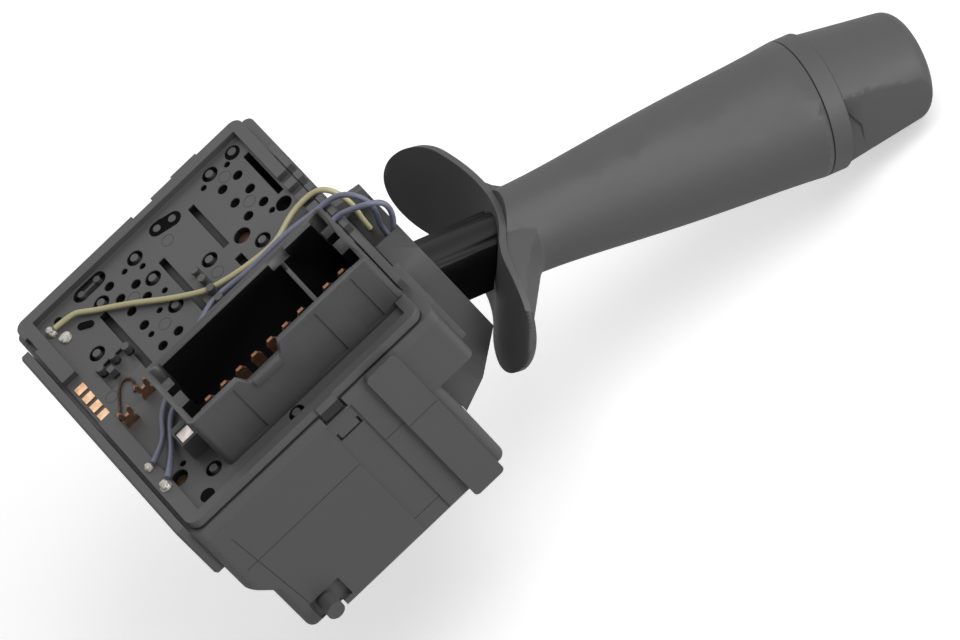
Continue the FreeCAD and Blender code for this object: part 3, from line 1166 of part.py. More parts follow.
def handle():
    """A hollow tapered grip, whose foot flares out over the leaf."""
    body = on_stalk(new_body("handle"))
    flare = sketch(body, "XZ_Plane", "handle_flare")
    polygon(flare, ("0", "root_start"), ("flare_radius", "root_start"),
            ("flare_radius", "handle_start - flare_drop"),
            ("handle_foot + flare_round", "handle_start - flare_round"),
            ("handle_foot - handle_wall / 4", "handle_start + flare_round"),
            ("0", "handle_start + flare_round"))
    turned(body, flare)
    leaf_margin(body, "flare_outline", "flare_inset")
    base = "(handle_start - foot_drop)"
    rings = [(base, "handle_foot")]
    rings += [(f"(handle_start + {name}_station)", f"handle_{name}") for name in ("foot", "middle", "shoulder")]
    rings.append((HANDLE_END, "handle_end"))
    sections = []
    for number, (station, radius) in enumerate(rings):
        ring = sketch(body, "XY_Plane", f"handle_ring_{number}", station)
        circles(ring, (("0", "0"),), radius)
        sections.append(ring)
    skin = body.newObject("PartDesign::AdditiveLoft", "handle_skin")
    skin.Profile = sections[0]
    skin.Sections = sections[1:]
    seat = leaf_sketch(body, "leaf_seat")
    leaf_profile(seat, "leaf_thick + running_clearance", "root_start - leaf_apex")
    pocket(body, seat, f"2 * {LEAF_SWEEP}", ahead=True)
    ring_seat = sketch(body, "XY_Plane", "ring_seat", f"{HANDLE_END} - handle_wall")
    circles(ring_seat, (("0", "0"),), "ring_seat_radius")
    pad(body, ring_seat, f"{RING_START} + ring_length - {HANDLE_END} + handle_wall")
    bore = sketch(body, "XZ_Plane", "handle_bore")
    socket = "(spigot_radius + running_clearance)"
    socket_end = "(handle_start + spigot_length + loose_clearance)"
    polygon(bore, ("0", "0"), (socket, "0"), (socket, socket_end),
            ("handle_foot - handle_wall", socket_end),
            ("handle_middle - handle_wall", "handle_start + middle_station"),
            ("handle_end - handle_wall", f"{HANDLE_END} - 2 * handle_wall"),
            ("rod_radius + running_clearance", f"{HANDLE_END} - 2 * handle_wall"),
            ("rod_radius + running_clearance", f"{RING_START} + ring_length + handle_wall"),
            ("0", f"{RING_START} + ring_length + handle_wall"))
    turned(body, bore, cut=True)


def index_ring():
    body = on_stalk(new_body("index_ring"))
    section = sketch(body, "XY_Plane", "ring_section", RING_START)
    circles(section, (("0", "0"),), "ring_radius")
    circles(section, (("0", "0"),), "ring_seat_radius + running_clearance")
    pad(body, section, "ring_length")


def light_knob():
    """A tapered knob with a finger scoop on each side, a ramp by the ring and a seat for the button."""
    body = on_stalk(new_body("light_knob"))
    skin = sketch(body, "XZ_Plane", "knob_section")
    polygon(skin, ("0", KNOB_START), ("knob_radius", KNOB_START), ("knob_end_radius", KNOB_END),
            ("0", KNOB_END))
    turned(body, skin)
    fillet(body, "knob_rim",
           lambda edge: near(edge.BoundBox.ZMin, KNOB_END) and near(edge.BoundBox.ZMax, KNOB_END),
           "knob_rim_round")
    for side, name in ((-1, "near_scoop"), (1, "far_scoop")):
        scoop = sketch(body, "XY_Plane", name, KNOB_START)
        polygon(scoop, ("0 - scoop_top", f"{side} * scoop_top_side"), ("scoop_low", f"{side} * scoop_low_side"),
                ("scoop_low", f"{side} * 2 * knob_radius"), ("0 - scoop_top", f"{side} * 2 * knob_radius"))
        pocket(body, scoop, "knob_length + 1", ahead=True)
    for side, name in ((1, "near_notch"), (-1, "far_notch")):
        notch = sketch(body, "XZ_Plane", name, f"{side} * (knob_radius + 1)")
        polygon(notch, ("0 - notch_low", KNOB_START), ("0 - notch_low / 2", f"{KNOB_START} + notch_length / 5"),
                ("notch_low / 5", f"{KNOB_START} + notch_length * 0.9"), ("notch_low", f"{KNOB_START} + notch_length"),
                ("notch_low + 0.6", KNOB_START))
        pocket(body, notch, "notch_depth + 1", ahead=side < 0)
    hollow = sketch(body, "XZ_Plane", "knob_hollow")
    web_start = f"({KNOB_FLOOR} - knob_wall)"
    polygon(hollow, ("0", f"{KNOB_START} - 1"), ("rod_radius + running_clearance", f"{KNOB_START} - 1"),
            ("rod_radius + running_clearance", web_start), ("0", web_start))
    turned(body, hollow, cut=True)
    seat = sketch(body, "XY_Plane", "button_seat", KNOB_END)
    circles(seat, (("0", "0"),), "button_radius + running_clearance")
    pocket(body, seat, f"{KNOB_END} - {KNOB_FLOOR}")


def selector_rod():
    body = on_stalk(new_body("selector_rod"))
    start = "(handle_start + rotor_place)"
    section = sketch(body, "XY_Plane", "rod_section", start)
    circles(section, (("0", "0"),), "rod_radius")
    circles(section, (("0", "0"),), "rod_bore")
    pad(body, section, f"{KNOB_FLOOR} - knob_wall - {start}")


def light_rotor():
    body = on_stalk(new_body("light_rotor"))
    section = sketch(body, "XY_Plane", "rotor_section", "handle_start + rotor_place")
    circles(section, (("0", "0"),), "rotor_radius")
    circles(section, (("0", "0"),), "rod_radius")
    pad(body, section, "rotor_thick")


def light_contact_plate():
    body = on_stalk(new_body("light_contact_plate"))
    start = "(handle_start + rotor_place - loose_clearance - knob_wall)"
    section = sketch(body, "XY_Plane", "contact_disc", start)
    circles(section, (("0", "0"),), "rotor_radius + 1.5")
    pad(body, section, "knob_wall")


def horn_button():
    body = on_stalk(new_body("horn_button"))
    floor = f"({KNOB_FLOOR} + button_travel + loose_clearance)"
    section = sketch(body, "XZ_Plane", "button_section")
    inner = "(button_radius - knob_wall)"
    polygon(section, ("0", f"{KNOB_END} + button_crown"), ("button_radius * 0.45", f"{KNOB_END} + button_crown * 0.9"),
            ("button_radius * 0.8", f"{KNOB_END} + button_crown * 0.5"), ("button_radius", KNOB_END),
            ("button_radius", floor), (inner, floor), (inner, f"{KNOB_END} - knob_wall"),
            ("0", f"{KNOB_END} - knob_wall"))
    turned(body, section)


def horn_spring():
    """The button's return spring, on the knob's floor."""
    wire = value("spring_wire")
    heading = FreeCAD.Rotation(Y_AXIS, value("90 + stalk_tilt"))
    start = value(KNOB_FLOOR) + 2 * wire
    end = value(f"{KNOB_END} - knob_wall - button_travel") - 2 * wire
    pivot = FreeCAD.Vector(value("rail_proud + pivot_place"), value("pivot_side"), value("pivot_height"))
    coil("horn_spring", pivot + heading.multVec(FreeCAD.Vector(0, 0, start)), value("button_radius * 0.45"),
         end - start, 4, heading)


# The leads. Each route is a list of places in the housing's coordinates, from the solder to the guide bar.
CREAM_LEAD = {"name": "cream_lead", "points": (
    (7.95, 33.7, 9.2), (11.4, 33.0, 9.3), (14.8, 30.8, 9.2), (18.4, 27.0, 9.3), (22.6, 22.2, 9.2),
    (27.4, 17.0, 9.3), (32.8, 12.6, 9.2), (39.0, 9.1, 9.2), (45.0, 6.6, 9.3), (50.6, 5.3, 9.2),
    (55.4, 4.7, 9.3), (59.6, 5.9, 9.3), (63.6, 6.7, 9.5), (67.8, 6.8, 10.0), (71.2, 5.4, 10.2),
    (73.0, 2.6, 8.2), (73.0, 0.8, 4.2), (72.2, 0.2, 0.2), (72.2, 0.2, -5.6))}
GREY_LEAD = {"name": "grey_lead", "points": (
    (4.2, -20.3, 10.9), (7.2, -18.4, 10.4), (9.8, -14.8, 9.5), (11.6, -10.6, 9.2), (14.8, -7.2, 9.3),
    (19.4, -5.2, 9.2), (23.6, -1.8, 9.3), (28.4, 1.4, 9.2), (33.4, 3.8, 9.3), (39.0, 5.2, 9.2),
    (44.6, 4.5, 9.3), (50.6, 3.2, 9.2), (57.0, 2.0, 9.3), (62.6, 1.5, 9.5), (68.4, 1.5, 10.0),
    (72.2, -0.1, 10.9), (75.0, -3.0, 9.8), (75.8, -5.0, 5.6), (74.0, -5.2, 1.0), (74.0, -5.2, -5.6))}
VIOLET_LEAD = {"name": "violet_lead", "points": (
    (4.4, -26.7, 11.0), (7.2, -23.6, 10.7), (9.4, -19.6, 9.8), (11.4, -15.2, 9.3), (14.0, -11.2, 9.2),
    (18.4, -9.4, 9.3), (23.8, -10.0, 9.2), (30.0, -10.9, 9.3), (37.5, -10.9, 9.2), (45.0, -9.6, 9.3),
    (52.5, -7.4, 9.2), (59.0, -4.8, 9.4), (64.0, -3.7, 9.8), (68.4, -3.8, 10.3), (71.8, -5.6, 11.0),
    (75.6, -8.4, 10.8), (78.2, -9.4, 7.4), (77.4, -8.8, 3.0), (74.8, -8.2, -0.6), (74.8, -8.2, -5.6))}
LEADS = (CREAM_LEAD, GREY_LEAD, VIOLET_LEAD)


def lead_tube(lead):
    """A lead as a round tube along straight runs that tangent arcs join."""
    points = [FreeCAD.Vector(*point) for point in lead["points"]]
    runs = [(b - a).Length for a, b in zip(points, points[1:])]
    edges = []
    start = points[0]
    radii = []
    for before, corner, after, run, following in zip(points, points[1:], points[2:], runs, runs[1:]):
        inward = (before - corner).normalize()
        outward = (after - corner).normalize()
        half_turn = (math.pi - inward.getAngle(outward)) / 2
        reach = 0.45 * min(run, following)
        radii.append(reach / math.tan(half_turn))
        first, last = corner + inward * reach, corner + outward * reach
        bisector = (inward + outward).normalize()
        centre = corner + bisector * math.hypot(reach, radii[-1])
        middle = centre - bisector * radii[-1]
        edges += [Part.LineSegment(start, first).toShape(), Part.Arc(first, middle, last).toShape()]
        start = last
    edges.append(Part.LineSegment(start, points[-1]).toShape())
    path = Part.Wire(edges)
    radius = value("lead_radius")
    heading = (points[1] - points[0]).normalize()
    ring = Part.Wire(Part.makeCircle(radius, points[0], heading))
    shape = path.makePipeShell([ring], True, False)
    tube = doc.addObject("Part::Feature", lead["name"])
    tube.Label = lead["name"]
    tube.Shape = shape
    tube.Placement = FreeCAD.Placement(FreeCAD.Vector(value("rail_proud"), 0, 0), FreeCAD.Rotation())
    PIECES.append(tube)
    share = shape.Volume / (math.pi * radius ** 2 * path.Length)
    print(f"{lead['name']}: length {path.Length:.1f}, volume share {share:.4f}, "
          f"arc radii {min(radii):.1f} to {max(radii):.1f}")


def check_pieces():
    """Stops the build at a failed feature, an empty or open piece, or a cut that takes nothing away."""
    for thing in doc.Objects:
        if {"Invalid", "Error"} & set(thing.State):
            raise RuntimeError(f"{thing.Name} failed: {thing.State}")
        if thing.TypeId in ("PartDesign::Pocket", "PartDesign::Groove"):
            before = thing.BaseFeature.Shape.Volume
            if thing.Shape.Volume > before - 0.001:
                raise RuntimeError(f"{thing.Name} cuts nothing")
    for piece in PIECES:
        if piece.Shape.isNull() or not piece.Shape.isValid() or not piece.Shape.Solids:
            raise RuntimeError(f"{piece.Label} has no sound solid")


for make in (housing, guide_rail, carrier_frame, terminal_plate, connector_shroud, blade_terminals,
             lead_carrier, contact_strips, contact_studs, edge_contacts, fork_terminals, window_block,
             window_contact, wire_retainers, solder_joints, stalk_neck, lead_guide, switch_floor,
             detent_block, turn_yoke, cross_pin, detent_plunger, detent_spring, turn_slider, turn_bridge,
             dimmer_slider, dimmer_bridge, stalk_root, cover_flange, handle, index_ring,
             light_contact_plate, light_knob, selector_rod, light_rotor, horn_button, horn_spring):
    make()
for lead in LEADS:
    lead_tube(lead)
doc.recompute()
check_pieces()

os.makedirs("parts", exist_ok=True)
for piece in PIECES:
    piece.Shape.exportStep(os.path.join("parts", piece.Label + ".step"))
    print(f"{piece.Label}: {len(piece.Shape.Solids)} solids, {piece.Shape.Volume:.1f} cubic millimetres")
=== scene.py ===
"""Dresses the combination stalk switch: mouldings, contacts, leads, lever, and its studio."""
import math

import bmesh
import bpy
from mathutils import Matrix, Vector, noise


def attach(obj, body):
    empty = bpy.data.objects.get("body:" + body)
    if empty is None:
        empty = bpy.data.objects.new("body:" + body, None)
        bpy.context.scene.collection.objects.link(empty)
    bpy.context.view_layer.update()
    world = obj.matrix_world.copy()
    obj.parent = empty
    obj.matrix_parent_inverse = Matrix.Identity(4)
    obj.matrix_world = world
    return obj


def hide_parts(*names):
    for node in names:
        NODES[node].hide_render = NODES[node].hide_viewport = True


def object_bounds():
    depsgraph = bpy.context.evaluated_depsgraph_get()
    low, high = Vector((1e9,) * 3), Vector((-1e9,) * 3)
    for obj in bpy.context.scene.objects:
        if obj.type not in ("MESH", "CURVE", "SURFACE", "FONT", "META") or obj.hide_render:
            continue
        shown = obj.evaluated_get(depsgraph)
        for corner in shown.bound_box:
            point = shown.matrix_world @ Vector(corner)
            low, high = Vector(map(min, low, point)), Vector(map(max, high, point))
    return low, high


bl_info = {
    "name": "Stalk switch dresser",
    "version": (1, 0, 0),
    "blender": (4, 5, 0),
    "location": "View3D > Sidebar > Switch",
    "description": "Gives a column stalk switch its mouldings, contacts, leads and lever finish",
    "category": "Object",
}

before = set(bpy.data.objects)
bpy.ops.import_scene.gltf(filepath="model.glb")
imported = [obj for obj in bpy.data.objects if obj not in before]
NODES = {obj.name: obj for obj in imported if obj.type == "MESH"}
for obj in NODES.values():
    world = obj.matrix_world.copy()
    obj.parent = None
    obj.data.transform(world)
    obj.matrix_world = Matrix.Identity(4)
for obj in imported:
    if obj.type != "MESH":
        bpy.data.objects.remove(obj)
CAD_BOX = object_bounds()

MM = 0.001

# A Mix node's colour sockets share their names with its other sockets, so they go by number.
MIX_A, MIX_B, MIXED = 6, 7, 2
# A face is level where its normal's Z is above this.
LEVEL = 0.7
# Most values of a noise lie between these two.
NOISE_LOW, NOISE_HIGH = 0.3, 0.7

# Marks of the surfaces: flow marks and grain of a moulding, rolling marks of a strip, handling
# marks and skin of a lead.
FLOW_WIDTH, FLOW_MOTTLE = 14 * MM, 0.06
GRAIN_DEPTH = 0.05 * MM
ROLLING_WIDTH, ROLLING_DEPTH = 0.2 * MM, 0.03 * MM
HANDLING_WIDTH, HANDLING_DULL = 3 * MM, 0.82
SKIN_WIDTH, SKIN_DEPTH = 0.4 * MM, 0.02 * MM

# Solder beads: how far their lumps stand out, and how wide they are.
LUMP_HEIGHT, LUMP_WIDTH = 0.28 * MM, 0.9 * MM

# Corners of the round sections: leads, the brown strip, fine lines, ejector rings and patches.
LEAD_SIDES, STRIP_SIDES, LINE_SIDES, RING_SIDES, PATCH_SIDES = 20, 8, 6, 36, 32

# Points of a mesh closer than this are one point, and the largest faces set its normals.
MERGE_DISTANCE = 0.002 * MM
FACE_WEIGHT = 100

# Hollows that light hardly reaches, where shade is painted, in the frame's millimetres: lowest and
# highest corner, and the height above which level faces get no painted shade.
CARRIER_HOLLOW = ((5.6, -38.0, -50.0), (66.0, 39.5, 7.6), 7.6)
PLATE_HOLES = ((-50.0, -80.0, -50.0), (150.0, 80.0, 7.9), 7.0)
PLUG_BAYS = ((19.8, -33.3, -20.0), (68.3, -14.4, 24.9), 12.0)
UNDER_STAKES = ((-50.0, -80.0, -50.0), (150.0, 80.0, 6.2), 6.2)

# The studio, in metres and watts: the floor, the sky's strength off camera, and the lamps with
# their place from the switch's middle, width and power.
FLOOR_REACH = 3.0
FLOOR_GAP = 0.5 * MM
FLOOR_GLOW = 0.45
FLOOR_TOOTH = 30 * MM
SKY_STRENGTH = 0.3
LAMPS = (
    ("key", (0.35, -0.3, 0.8), 0.6, 4.4),
    ("front", (0.65, -0.75, 0.1), 0.5, 4.8),
    ("back", (0.1, 0.7, 0.6), 0.6, 0.8))

# The camera, fitted to the photograph: its lens and sensor in millimetres, the point it looks at,
# the width that it shows there, and the directions that set its upright.
LENS, SENSOR = 400, 36
VIEW_CENTRE = Vector((78.0, -6.5, -39.0)) * MM
VIEW_WIDTH = 960 / 4.6 * MM
VIEW_TILT = Vector((0, 0.69966, 0.71447))
ROLL_COSINE, ROLL_SINE = 0.72417, 0.68962


def linear(code):
    """An sRGB hex colour as linear red, green, blue."""
    parts = [int(code[i:i + 2], 16) / 255 for i in (1, 3, 5)]
    return tuple(c / 12.92 if c <= 0.04045 else ((c + 0.055) / 1.055) ** 2.4 for c in parts)


def colour(code, label, text):
    """A colour setting of the panel."""
    return bpy.props.FloatVectorProperty(name=label, description=text, subtype="COLOR", size=3,
                                         min=0, max=1, default=linear(code))


def length(millimetres, label, text):
    """A length setting of the panel."""
    return bpy.props.FloatProperty(name=label, description=text, subtype="DISTANCE", unit="LENGTH",
                                   default=millimetres * MM, min=0, precision=5)


class SwitchSizes(bpy.types.PropertyGroup):
    """Sizes that a user would change."""
    edge_round: length(0.3, "Edge round", "Rounding that moulded edges show in the light")
    grain: length(0.35, "Grain", "Width of the eroded grain on the mouldings")
    lead: length(1.3, "Lead", "Outer diameter of a lead's insulation")
    seam: length(0.14, "Seam", "Width of the seams between slides of the mould")
    ring: length(1.5, "Ejector ring", "Radius of the rings that ejector pins left on the plate")
    strip: length(0.6, "Brown strip", "Thickness of the bent copper strip by the forks")


class SwitchColours(bpy.types.PropertyGroup):
    """Colours that a user would change."""
    housing: colour("#4A4A4A", "Housing", "Near side wall and neck")
    carrier: colour("#4D4D4D", "Carrier", "Top frame with its rails")
    plate: colour("#4E4E4E", "Plate", "Terminal plate")
    shroud: colour("#454545", "Socket", "Walls of the plug socket")
    lever: colour("#4A4A4A", "Lever", "Handle, knob, ring and cover")
    root: colour("#0E0D0D", "Root", "Black root of the lever")
    inner: colour("#1C1B1A", "Inner pieces", "Dark mouldings inside")
    slider: colour("#CFCBBF", "Sliders", "Slippery white sliders")
    copper: colour("#A9826A", "Copper", "Contact strips, studs and forks")
    tin: colour("#B98A70", "Blades", "Blade terminals")
    solder: colour("#C4C3BF", "Solder", "Set solder")
    cream: colour("#BFB88F", "Cream lead", "Insulation of the first lead")
    grey: colour("#6F7285", "Grey lead", "Insulation of the second lead")
    violet: colour("#737489", "Violet lead", "Insulation of the third lead")


def add_node(tree, kind, inputs=(), **settings):
    """Adds a node, sets its fields, and fills or links its inputs."""
    made = tree.nodes.new(kind)
    for field, setting in settings.items():
        setattr(made, field, setting)
    for socket, given in dict(inputs).items():
        if isinstance(given, bpy.types.NodeSocket):
            tree.links.new(given, made.inputs[socket])
        else:
            made.inputs[socket].default_value = given
    return made


def placed(name, data):
    """A new object with that data, linked to the scene."""
    made = bpy.data.objects.new(name, data)
    bpy.context.scene.collection.objects.link(made)
    return made


def blank(name):
    """A material without nodes, its tree, and the object's own coordinates."""
    made = bpy.data.materials.new(name)
    made.use_nodes = True
    tree = made.node_tree
    tree.nodes.clear()
    return made, tree, add_node(tree, "ShaderNodeTexCoord").outputs["Object"]


def closed(tree, shader):
    """Links a shader to the material's output."""
    add_node(tree, "ShaderNodeOutputMaterial", {"Surface": shader.outputs[0]})


def within(tree, place, lowest, highest, lit):
    """Mask of painted shade: 1 inside a box given in millimetres, apart from level faces above the
    height lit.
    """
    middle = (Vector(lowest) + Vector(highest)) / 2 * MM
    half = (Vector(highest) - Vector(lowest)) / 2 * MM
    offset = add_node(tree, "ShaderNodeVectorMath", {0: place, 1: middle}, operation="SUBTRACT")
    spread = add_node(tree, "ShaderNodeVectorMath", {0: offset.outputs[0]}, operation="ABSOLUTE")
    over = add_node(tree, "ShaderNodeVectorMath", {0: spread.outputs[0], 1: half},
                    operation="SUBTRACT")
    parts = add_node(tree, "ShaderNodeSeparateXYZ", {"Vector": over.outputs[0]})
    wide = add_node(tree, "ShaderNodeMath", {0: parts.outputs["X"], 1: parts.outputs["Y"]},
                    operation="MAXIMUM")
    far = add_node(tree, "ShaderNodeMath", {0: wide.outputs[0], 1: parts.outputs["Z"]},
                   operation="MAXIMUM")
    inside = add_node(tree, "ShaderNodeMath", {0: far.outputs[0], 1: 0.0}, operation="LESS_THAN")
    facing = add_node(tree, "ShaderNodeNewGeometry")
    up = add_node(tree, "ShaderNodeSeparateXYZ", {"Vector": facing.outputs["True Normal"]})
    level = add_node(tree, "ShaderNodeMath", {0: up.outputs["Z"], 1: LEVEL},
                     operation="GREATER_THAN")
    height = add_node(tree, "ShaderNodeSeparateXYZ", {"Vector": place})
    high = add_node(tree, "ShaderNodeMath", {0: height.outputs["Z"], 1: lit * MM},
                    operation="GREATER_THAN")
    shown = add_node(tree, "ShaderNodeMath", {0: level.outputs[0], 1: high.outputs[0]},
                     operation="MULTIPLY")
    rest = add_node(tree, "ShaderNodeMath", {0: inside.outputs[0], 1: shown.outputs[0]},
                    operation="SUBTRACT")
    painted_shade = add_node(tree, "ShaderNodeMath", {0: rest.outputs[0], 1: 0.0}, operation="MAXIMUM")
    return painted_shade.outputs[0]


def moulded(name, tint, rough, grain, relief, sheen_edge=0.25, hollow=None, mirror=0.5):
    """Moulded plastic: flow marks, eroded grain, a painted highlight on edges, and painted shade in
    a hollow.
    """
    sizes = bpy.context.scene.switch_sizes
    made, tree, place = blank(name)
    flow = add_node(tree, "ShaderNodeTexNoise",
                    {"Vector": place, "Scale": 1 / FLOW_WIDTH, "Detail": 4.0, "Roughness": 0.6})
    pale = tuple(min(1, c * (1 + FLOW_MOTTLE)) for c in tint) + (1,)
    deep = tuple(c * (1 - FLOW_MOTTLE) for c in tint) + (1,)
    base = add_node(tree, "ShaderNodeMix",
                    {"Factor": flow.outputs["Fac"], MIX_A: deep, MIX_B: pale}, data_type="RGBA")
    # Where the rounded normal leaves the flat one, the face is near an edge.
    rounded = add_node(tree, "ShaderNodeBevel", {"Radius": sizes.edge_round}, samples=4)
    flat = add_node(tree, "ShaderNodeNewGeometry")
    facing = add_node(tree, "ShaderNodeVectorMath",
                      {0: rounded.outputs["Normal"], 1: flat.outputs["True Normal"]},
                      operation="DOT_PRODUCT")
    edge = add_node(tree, "ShaderNodeMapRange",
                    {"Value": facing.outputs["Value"], "From Min": 0.99, "From Max": 0.8,
                     "To Min": 0.0, "To Max": sheen_edge})
    # Painted highlight: near edges the colour is lightened towards a paler tint, up to sheen_edge.
    highlight_tint = tuple(min(1, c * 1.6 + 0.012) for c in tint) + (1,)
    painted_tint = add_node(tree, "ShaderNodeMix",
                    {"Factor": edge.outputs["Result"], MIX_A: base.outputs[MIXED], MIX_B: highlight_tint},
                    data_type="RGBA")
    # Painted shade: inside the hollow's box, faces are mixed towards a near black, apart from level
    # faces above the height lit.
    if hollow:
        dark, lowest, highest, lit = hollow
        painted_shade = within(tree, place, lowest, highest, lit)
        painted_tint = add_node(tree, "ShaderNodeMix",
                        {"Factor": painted_shade, MIX_A: painted_tint.outputs[MIXED], MIX_B: dark + (1,)},
                        data_type="RGBA")
    fine = add_node(tree, "ShaderNodeTexNoise",
                    {"Vector": place, "Scale": 1 / grain, "Detail": 3.0, "Roughness": 0.7})
    bump = add_node(tree, "ShaderNodeBump",
                    {"Height": fine.outputs["Fac"], "Strength": relief, "Distance": GRAIN_DEPTH,
                     "Normal": rounded.outputs["Normal"]})
    gloss = add_node(tree, "ShaderNodeMapRange",
                     {"Value": flow.outputs["Fac"], "From Min": NOISE_LOW, "From Max": NOISE_HIGH,
                      "To Min": rough - 0.05, "To Max": rough + 0.06})
    shader = add_node(tree, "ShaderNodeBsdfPrincipled",
                      {"Base Color": painted_tint.outputs[MIXED], "Roughness": gloss.outputs["Result"],
                       "IOR": 1.5, "Specular IOR Level": mirror, "Normal": bump.outputs["Normal"]})
    closed(tree, shader)
    return made


def metal(name, tint, rough, tarnish, cell, shine):
    """Bare metal with slight tarnish in patches as wide as a cell, and fine rolling marks."""
    made, tree, place = blank(name)
    patch = add_node(tree, "ShaderNodeTexNoise",
                     {"Vector": place, "Scale": 1 / cell, "Detail": 5.0, "Roughness": 0.65})
    spread = add_node(tree, "ShaderNodeMapRange",
                      {"Value": patch.outputs["Fac"], "From Min": 0.35, "From Max": 0.75,
                       "To Min": 0.0, "To Max": 1.0})
    base = add_node(tree, "ShaderNodeMix",
                    {"Factor": spread.outputs["Result"], MIX_A: tint + (1,), MIX_B: tarnish + (1,)},
                    data_type="RGBA")
    marks = add_node(tree, "ShaderNodeTexNoise",
                     {"Vector": place, "Scale": 1 / ROLLING_WIDTH, "Detail": 2.0})
    bump = add_node(tree, "ShaderNodeBump",
                    {"Height": marks.outputs["Fac"], "Strength": 0.12, "Distance": ROLLING_DEPTH})
    gloss = add_node(tree, "ShaderNodeMapRange",
                     {"Value": patch.outputs["Fac"], "From Min": NOISE_LOW, "From Max": NOISE_HIGH,
                      "To Min": rough - 0.06, "To Max": rough + 0.1})
    shader = add_node(tree, "ShaderNodeBsdfPrincipled",
                      {"Base Color": base.outputs[MIXED], "Roughness": gloss.outputs["Result"],
                       "Metallic": shine, "Normal": bump.outputs["Normal"]})
    closed(tree, shader)
    return made


def insulation(name, tint):
    """Soft extruded vinyl: a satin skin with faint handling marks."""
    made, tree, place = blank(name)
    soil = add_node(tree, "ShaderNodeTexNoise",
                    {"Vector": place, "Scale": 1 / HANDLING_WIDTH, "Detail": 4.0, "Roughness": 0.7})
    dull = tuple(c * HANDLING_DULL for c in tint) + (1,)
    base = add_node(tree, "ShaderNodeMix",
                    {"Factor": soil.outputs["Fac"], MIX_A: tint + (1,), MIX_B: dull},
                    data_type="RGBA")
    skin = add_node(tree, "ShaderNodeTexNoise",
                    {"Vector": place, "Scale": 1 / SKIN_WIDTH, "Detail": 2.0})
    bump = add_node(tree, "ShaderNodeBump",
                    {"Height": skin.outputs["Fac"], "Strength": 0.1, "Distance": SKIN_DEPTH})
    shader = add_node(tree, "ShaderNodeBsdfPrincipled",
                      {"Base Color": base.outputs[MIXED], "Roughness": 0.42, "IOR": 1.53,
                       "Normal": bump.outputs["Normal"]})
    closed(tree, shader)
    return made


def finish_of(kind):
    """The material of that finish, made when it is first asked for."""
    if kind in bpy.data.materials:
        return bpy.data.materials[kind]
    hues = bpy.context.scene.switch_colours
    grain = bpy.context.scene.switch_sizes.grain
    plain = {
        # Glass-filled nylon from an eroded mould: satin, with a fine even grain.
        "nylon_housing": (hues.housing, 0.5, grain, 0.25),
        # Textured ABS of the lever: a coarser grain that breaks up the highlight.
        "abs_lever": (hues.lever, 0.55, 1.2 * grain, 0.45),
        # The socket's nylon, off a smoother core.
        "nylon_socket": (hues.shroud, 0.46, grain, 0.2),
        # Dark greased nylon of the pieces inside.
        "nylon_inner": (hues.inner, 0.5, grain, 0.3),
        # Natural acetal, nearly white: slippery, with hardly any grain.
        "acetal_slider": (hues.slider, 0.4, grain, 0.12),
    }
    if kind in plain:
        tint, rough, width, relief = plain[kind]
        return moulded(kind, tuple(tint), rough, width, relief)
    unlit = {
        # Acetal of the root, in the shade of the cover, with handling marks.
        "acetal_root": (hues.root, 0.42, 0.25),
        # Black nylon with no gloss that paints the shade at the bottom of a stake's well and down
        # in the plug bays.
        "nylon_well": (linear("#0A0A0A"), 0.7, 0.05),
    }
    if kind in unlit:
        tint, rough, mirror = unlit[kind]
        return moulded(kind, tuple(tint), rough, grain, 0.3, sheen_edge=0.1, mirror=mirror)
    painted_shade = {
        # The same nylon, with painted shade, a near black, down in its slots, holes and plug bays.
        "nylon_carrier": (hues.carrier, 0.48, 0.25, CARRIER_HOLLOW),
        "nylon_plate": (hues.plate, 0.52, 0.25, PLATE_HOLES),
        "nylon_stakes": (hues.plate, 0.5, 0.3, UNDER_STAKES),
    }
    if kind in painted_shade:
        tint, rough, relief, space = painted_shade[kind]
        return moulded(kind, tuple(tint), rough, grain, relief, hollow=(linear("#0C0C0C"), *space))
    if kind in ("vinyl_cream", "vinyl_grey", "vinyl_violet"):
        return insulation(kind, tuple(getattr(hues, kind.split("_")[1])))
    metals = {
        # Copper alloy strip, blanked: dull and browned where hands and air reached it.
        "stamped_copper": (hues.copper, 0.42, "#6B4F3F", 2 * MM, 0.85),
        # The same strip where a wiper keeps it bright.
        "wiped_copper": (linear("#DDBB9C"), 0.3, "#B58A66", 2 * MM, 1.0),
        # The same strip under the plate, gone brown.
        "browned_copper": (linear("#54392B"), 0.5, "#22160F", 1.5 * MM, 0.7),
        # Tinned strip: nearly white, with a soft sheen.
        "tinned_plate": (linear("#E6DEDA"), 0.35, "#B9ADA6", 3 * MM, 0.7),
        # Thin tin over copper alloy: satin, with the copper showing through.
        "stamped_blade": (hues.tin, 0.45, "#80583F", 3 * MM, 0.85),
        # Set solder: pale and lumpy, with flux left on it.
        "set_solder": (hues.solder, 0.34, "#8C846F", 0.8 * MM, 0.6),
        # Hard drawn spring wire: bright, with hardly any tarnish.
        "drawn_steel": (linear("#B5B5B3"), 0.26, "#8C8C8A", 1 * MM, 1.0),
    }
    if kind in metals:
        tint, rough, tarnish, cell, shine = metals[kind]
        return metal(kind, tuple(tint), rough, linear(tarnish), cell, shine)
    raise ValueError(f"no finish named {kind}")


def dress(kind, *names):
    """Gives CAD nodes one finish."""
    for name in names:
        node = NODES[name]
        node.data.materials.clear()
        node.data.materials.append(finish_of(kind))


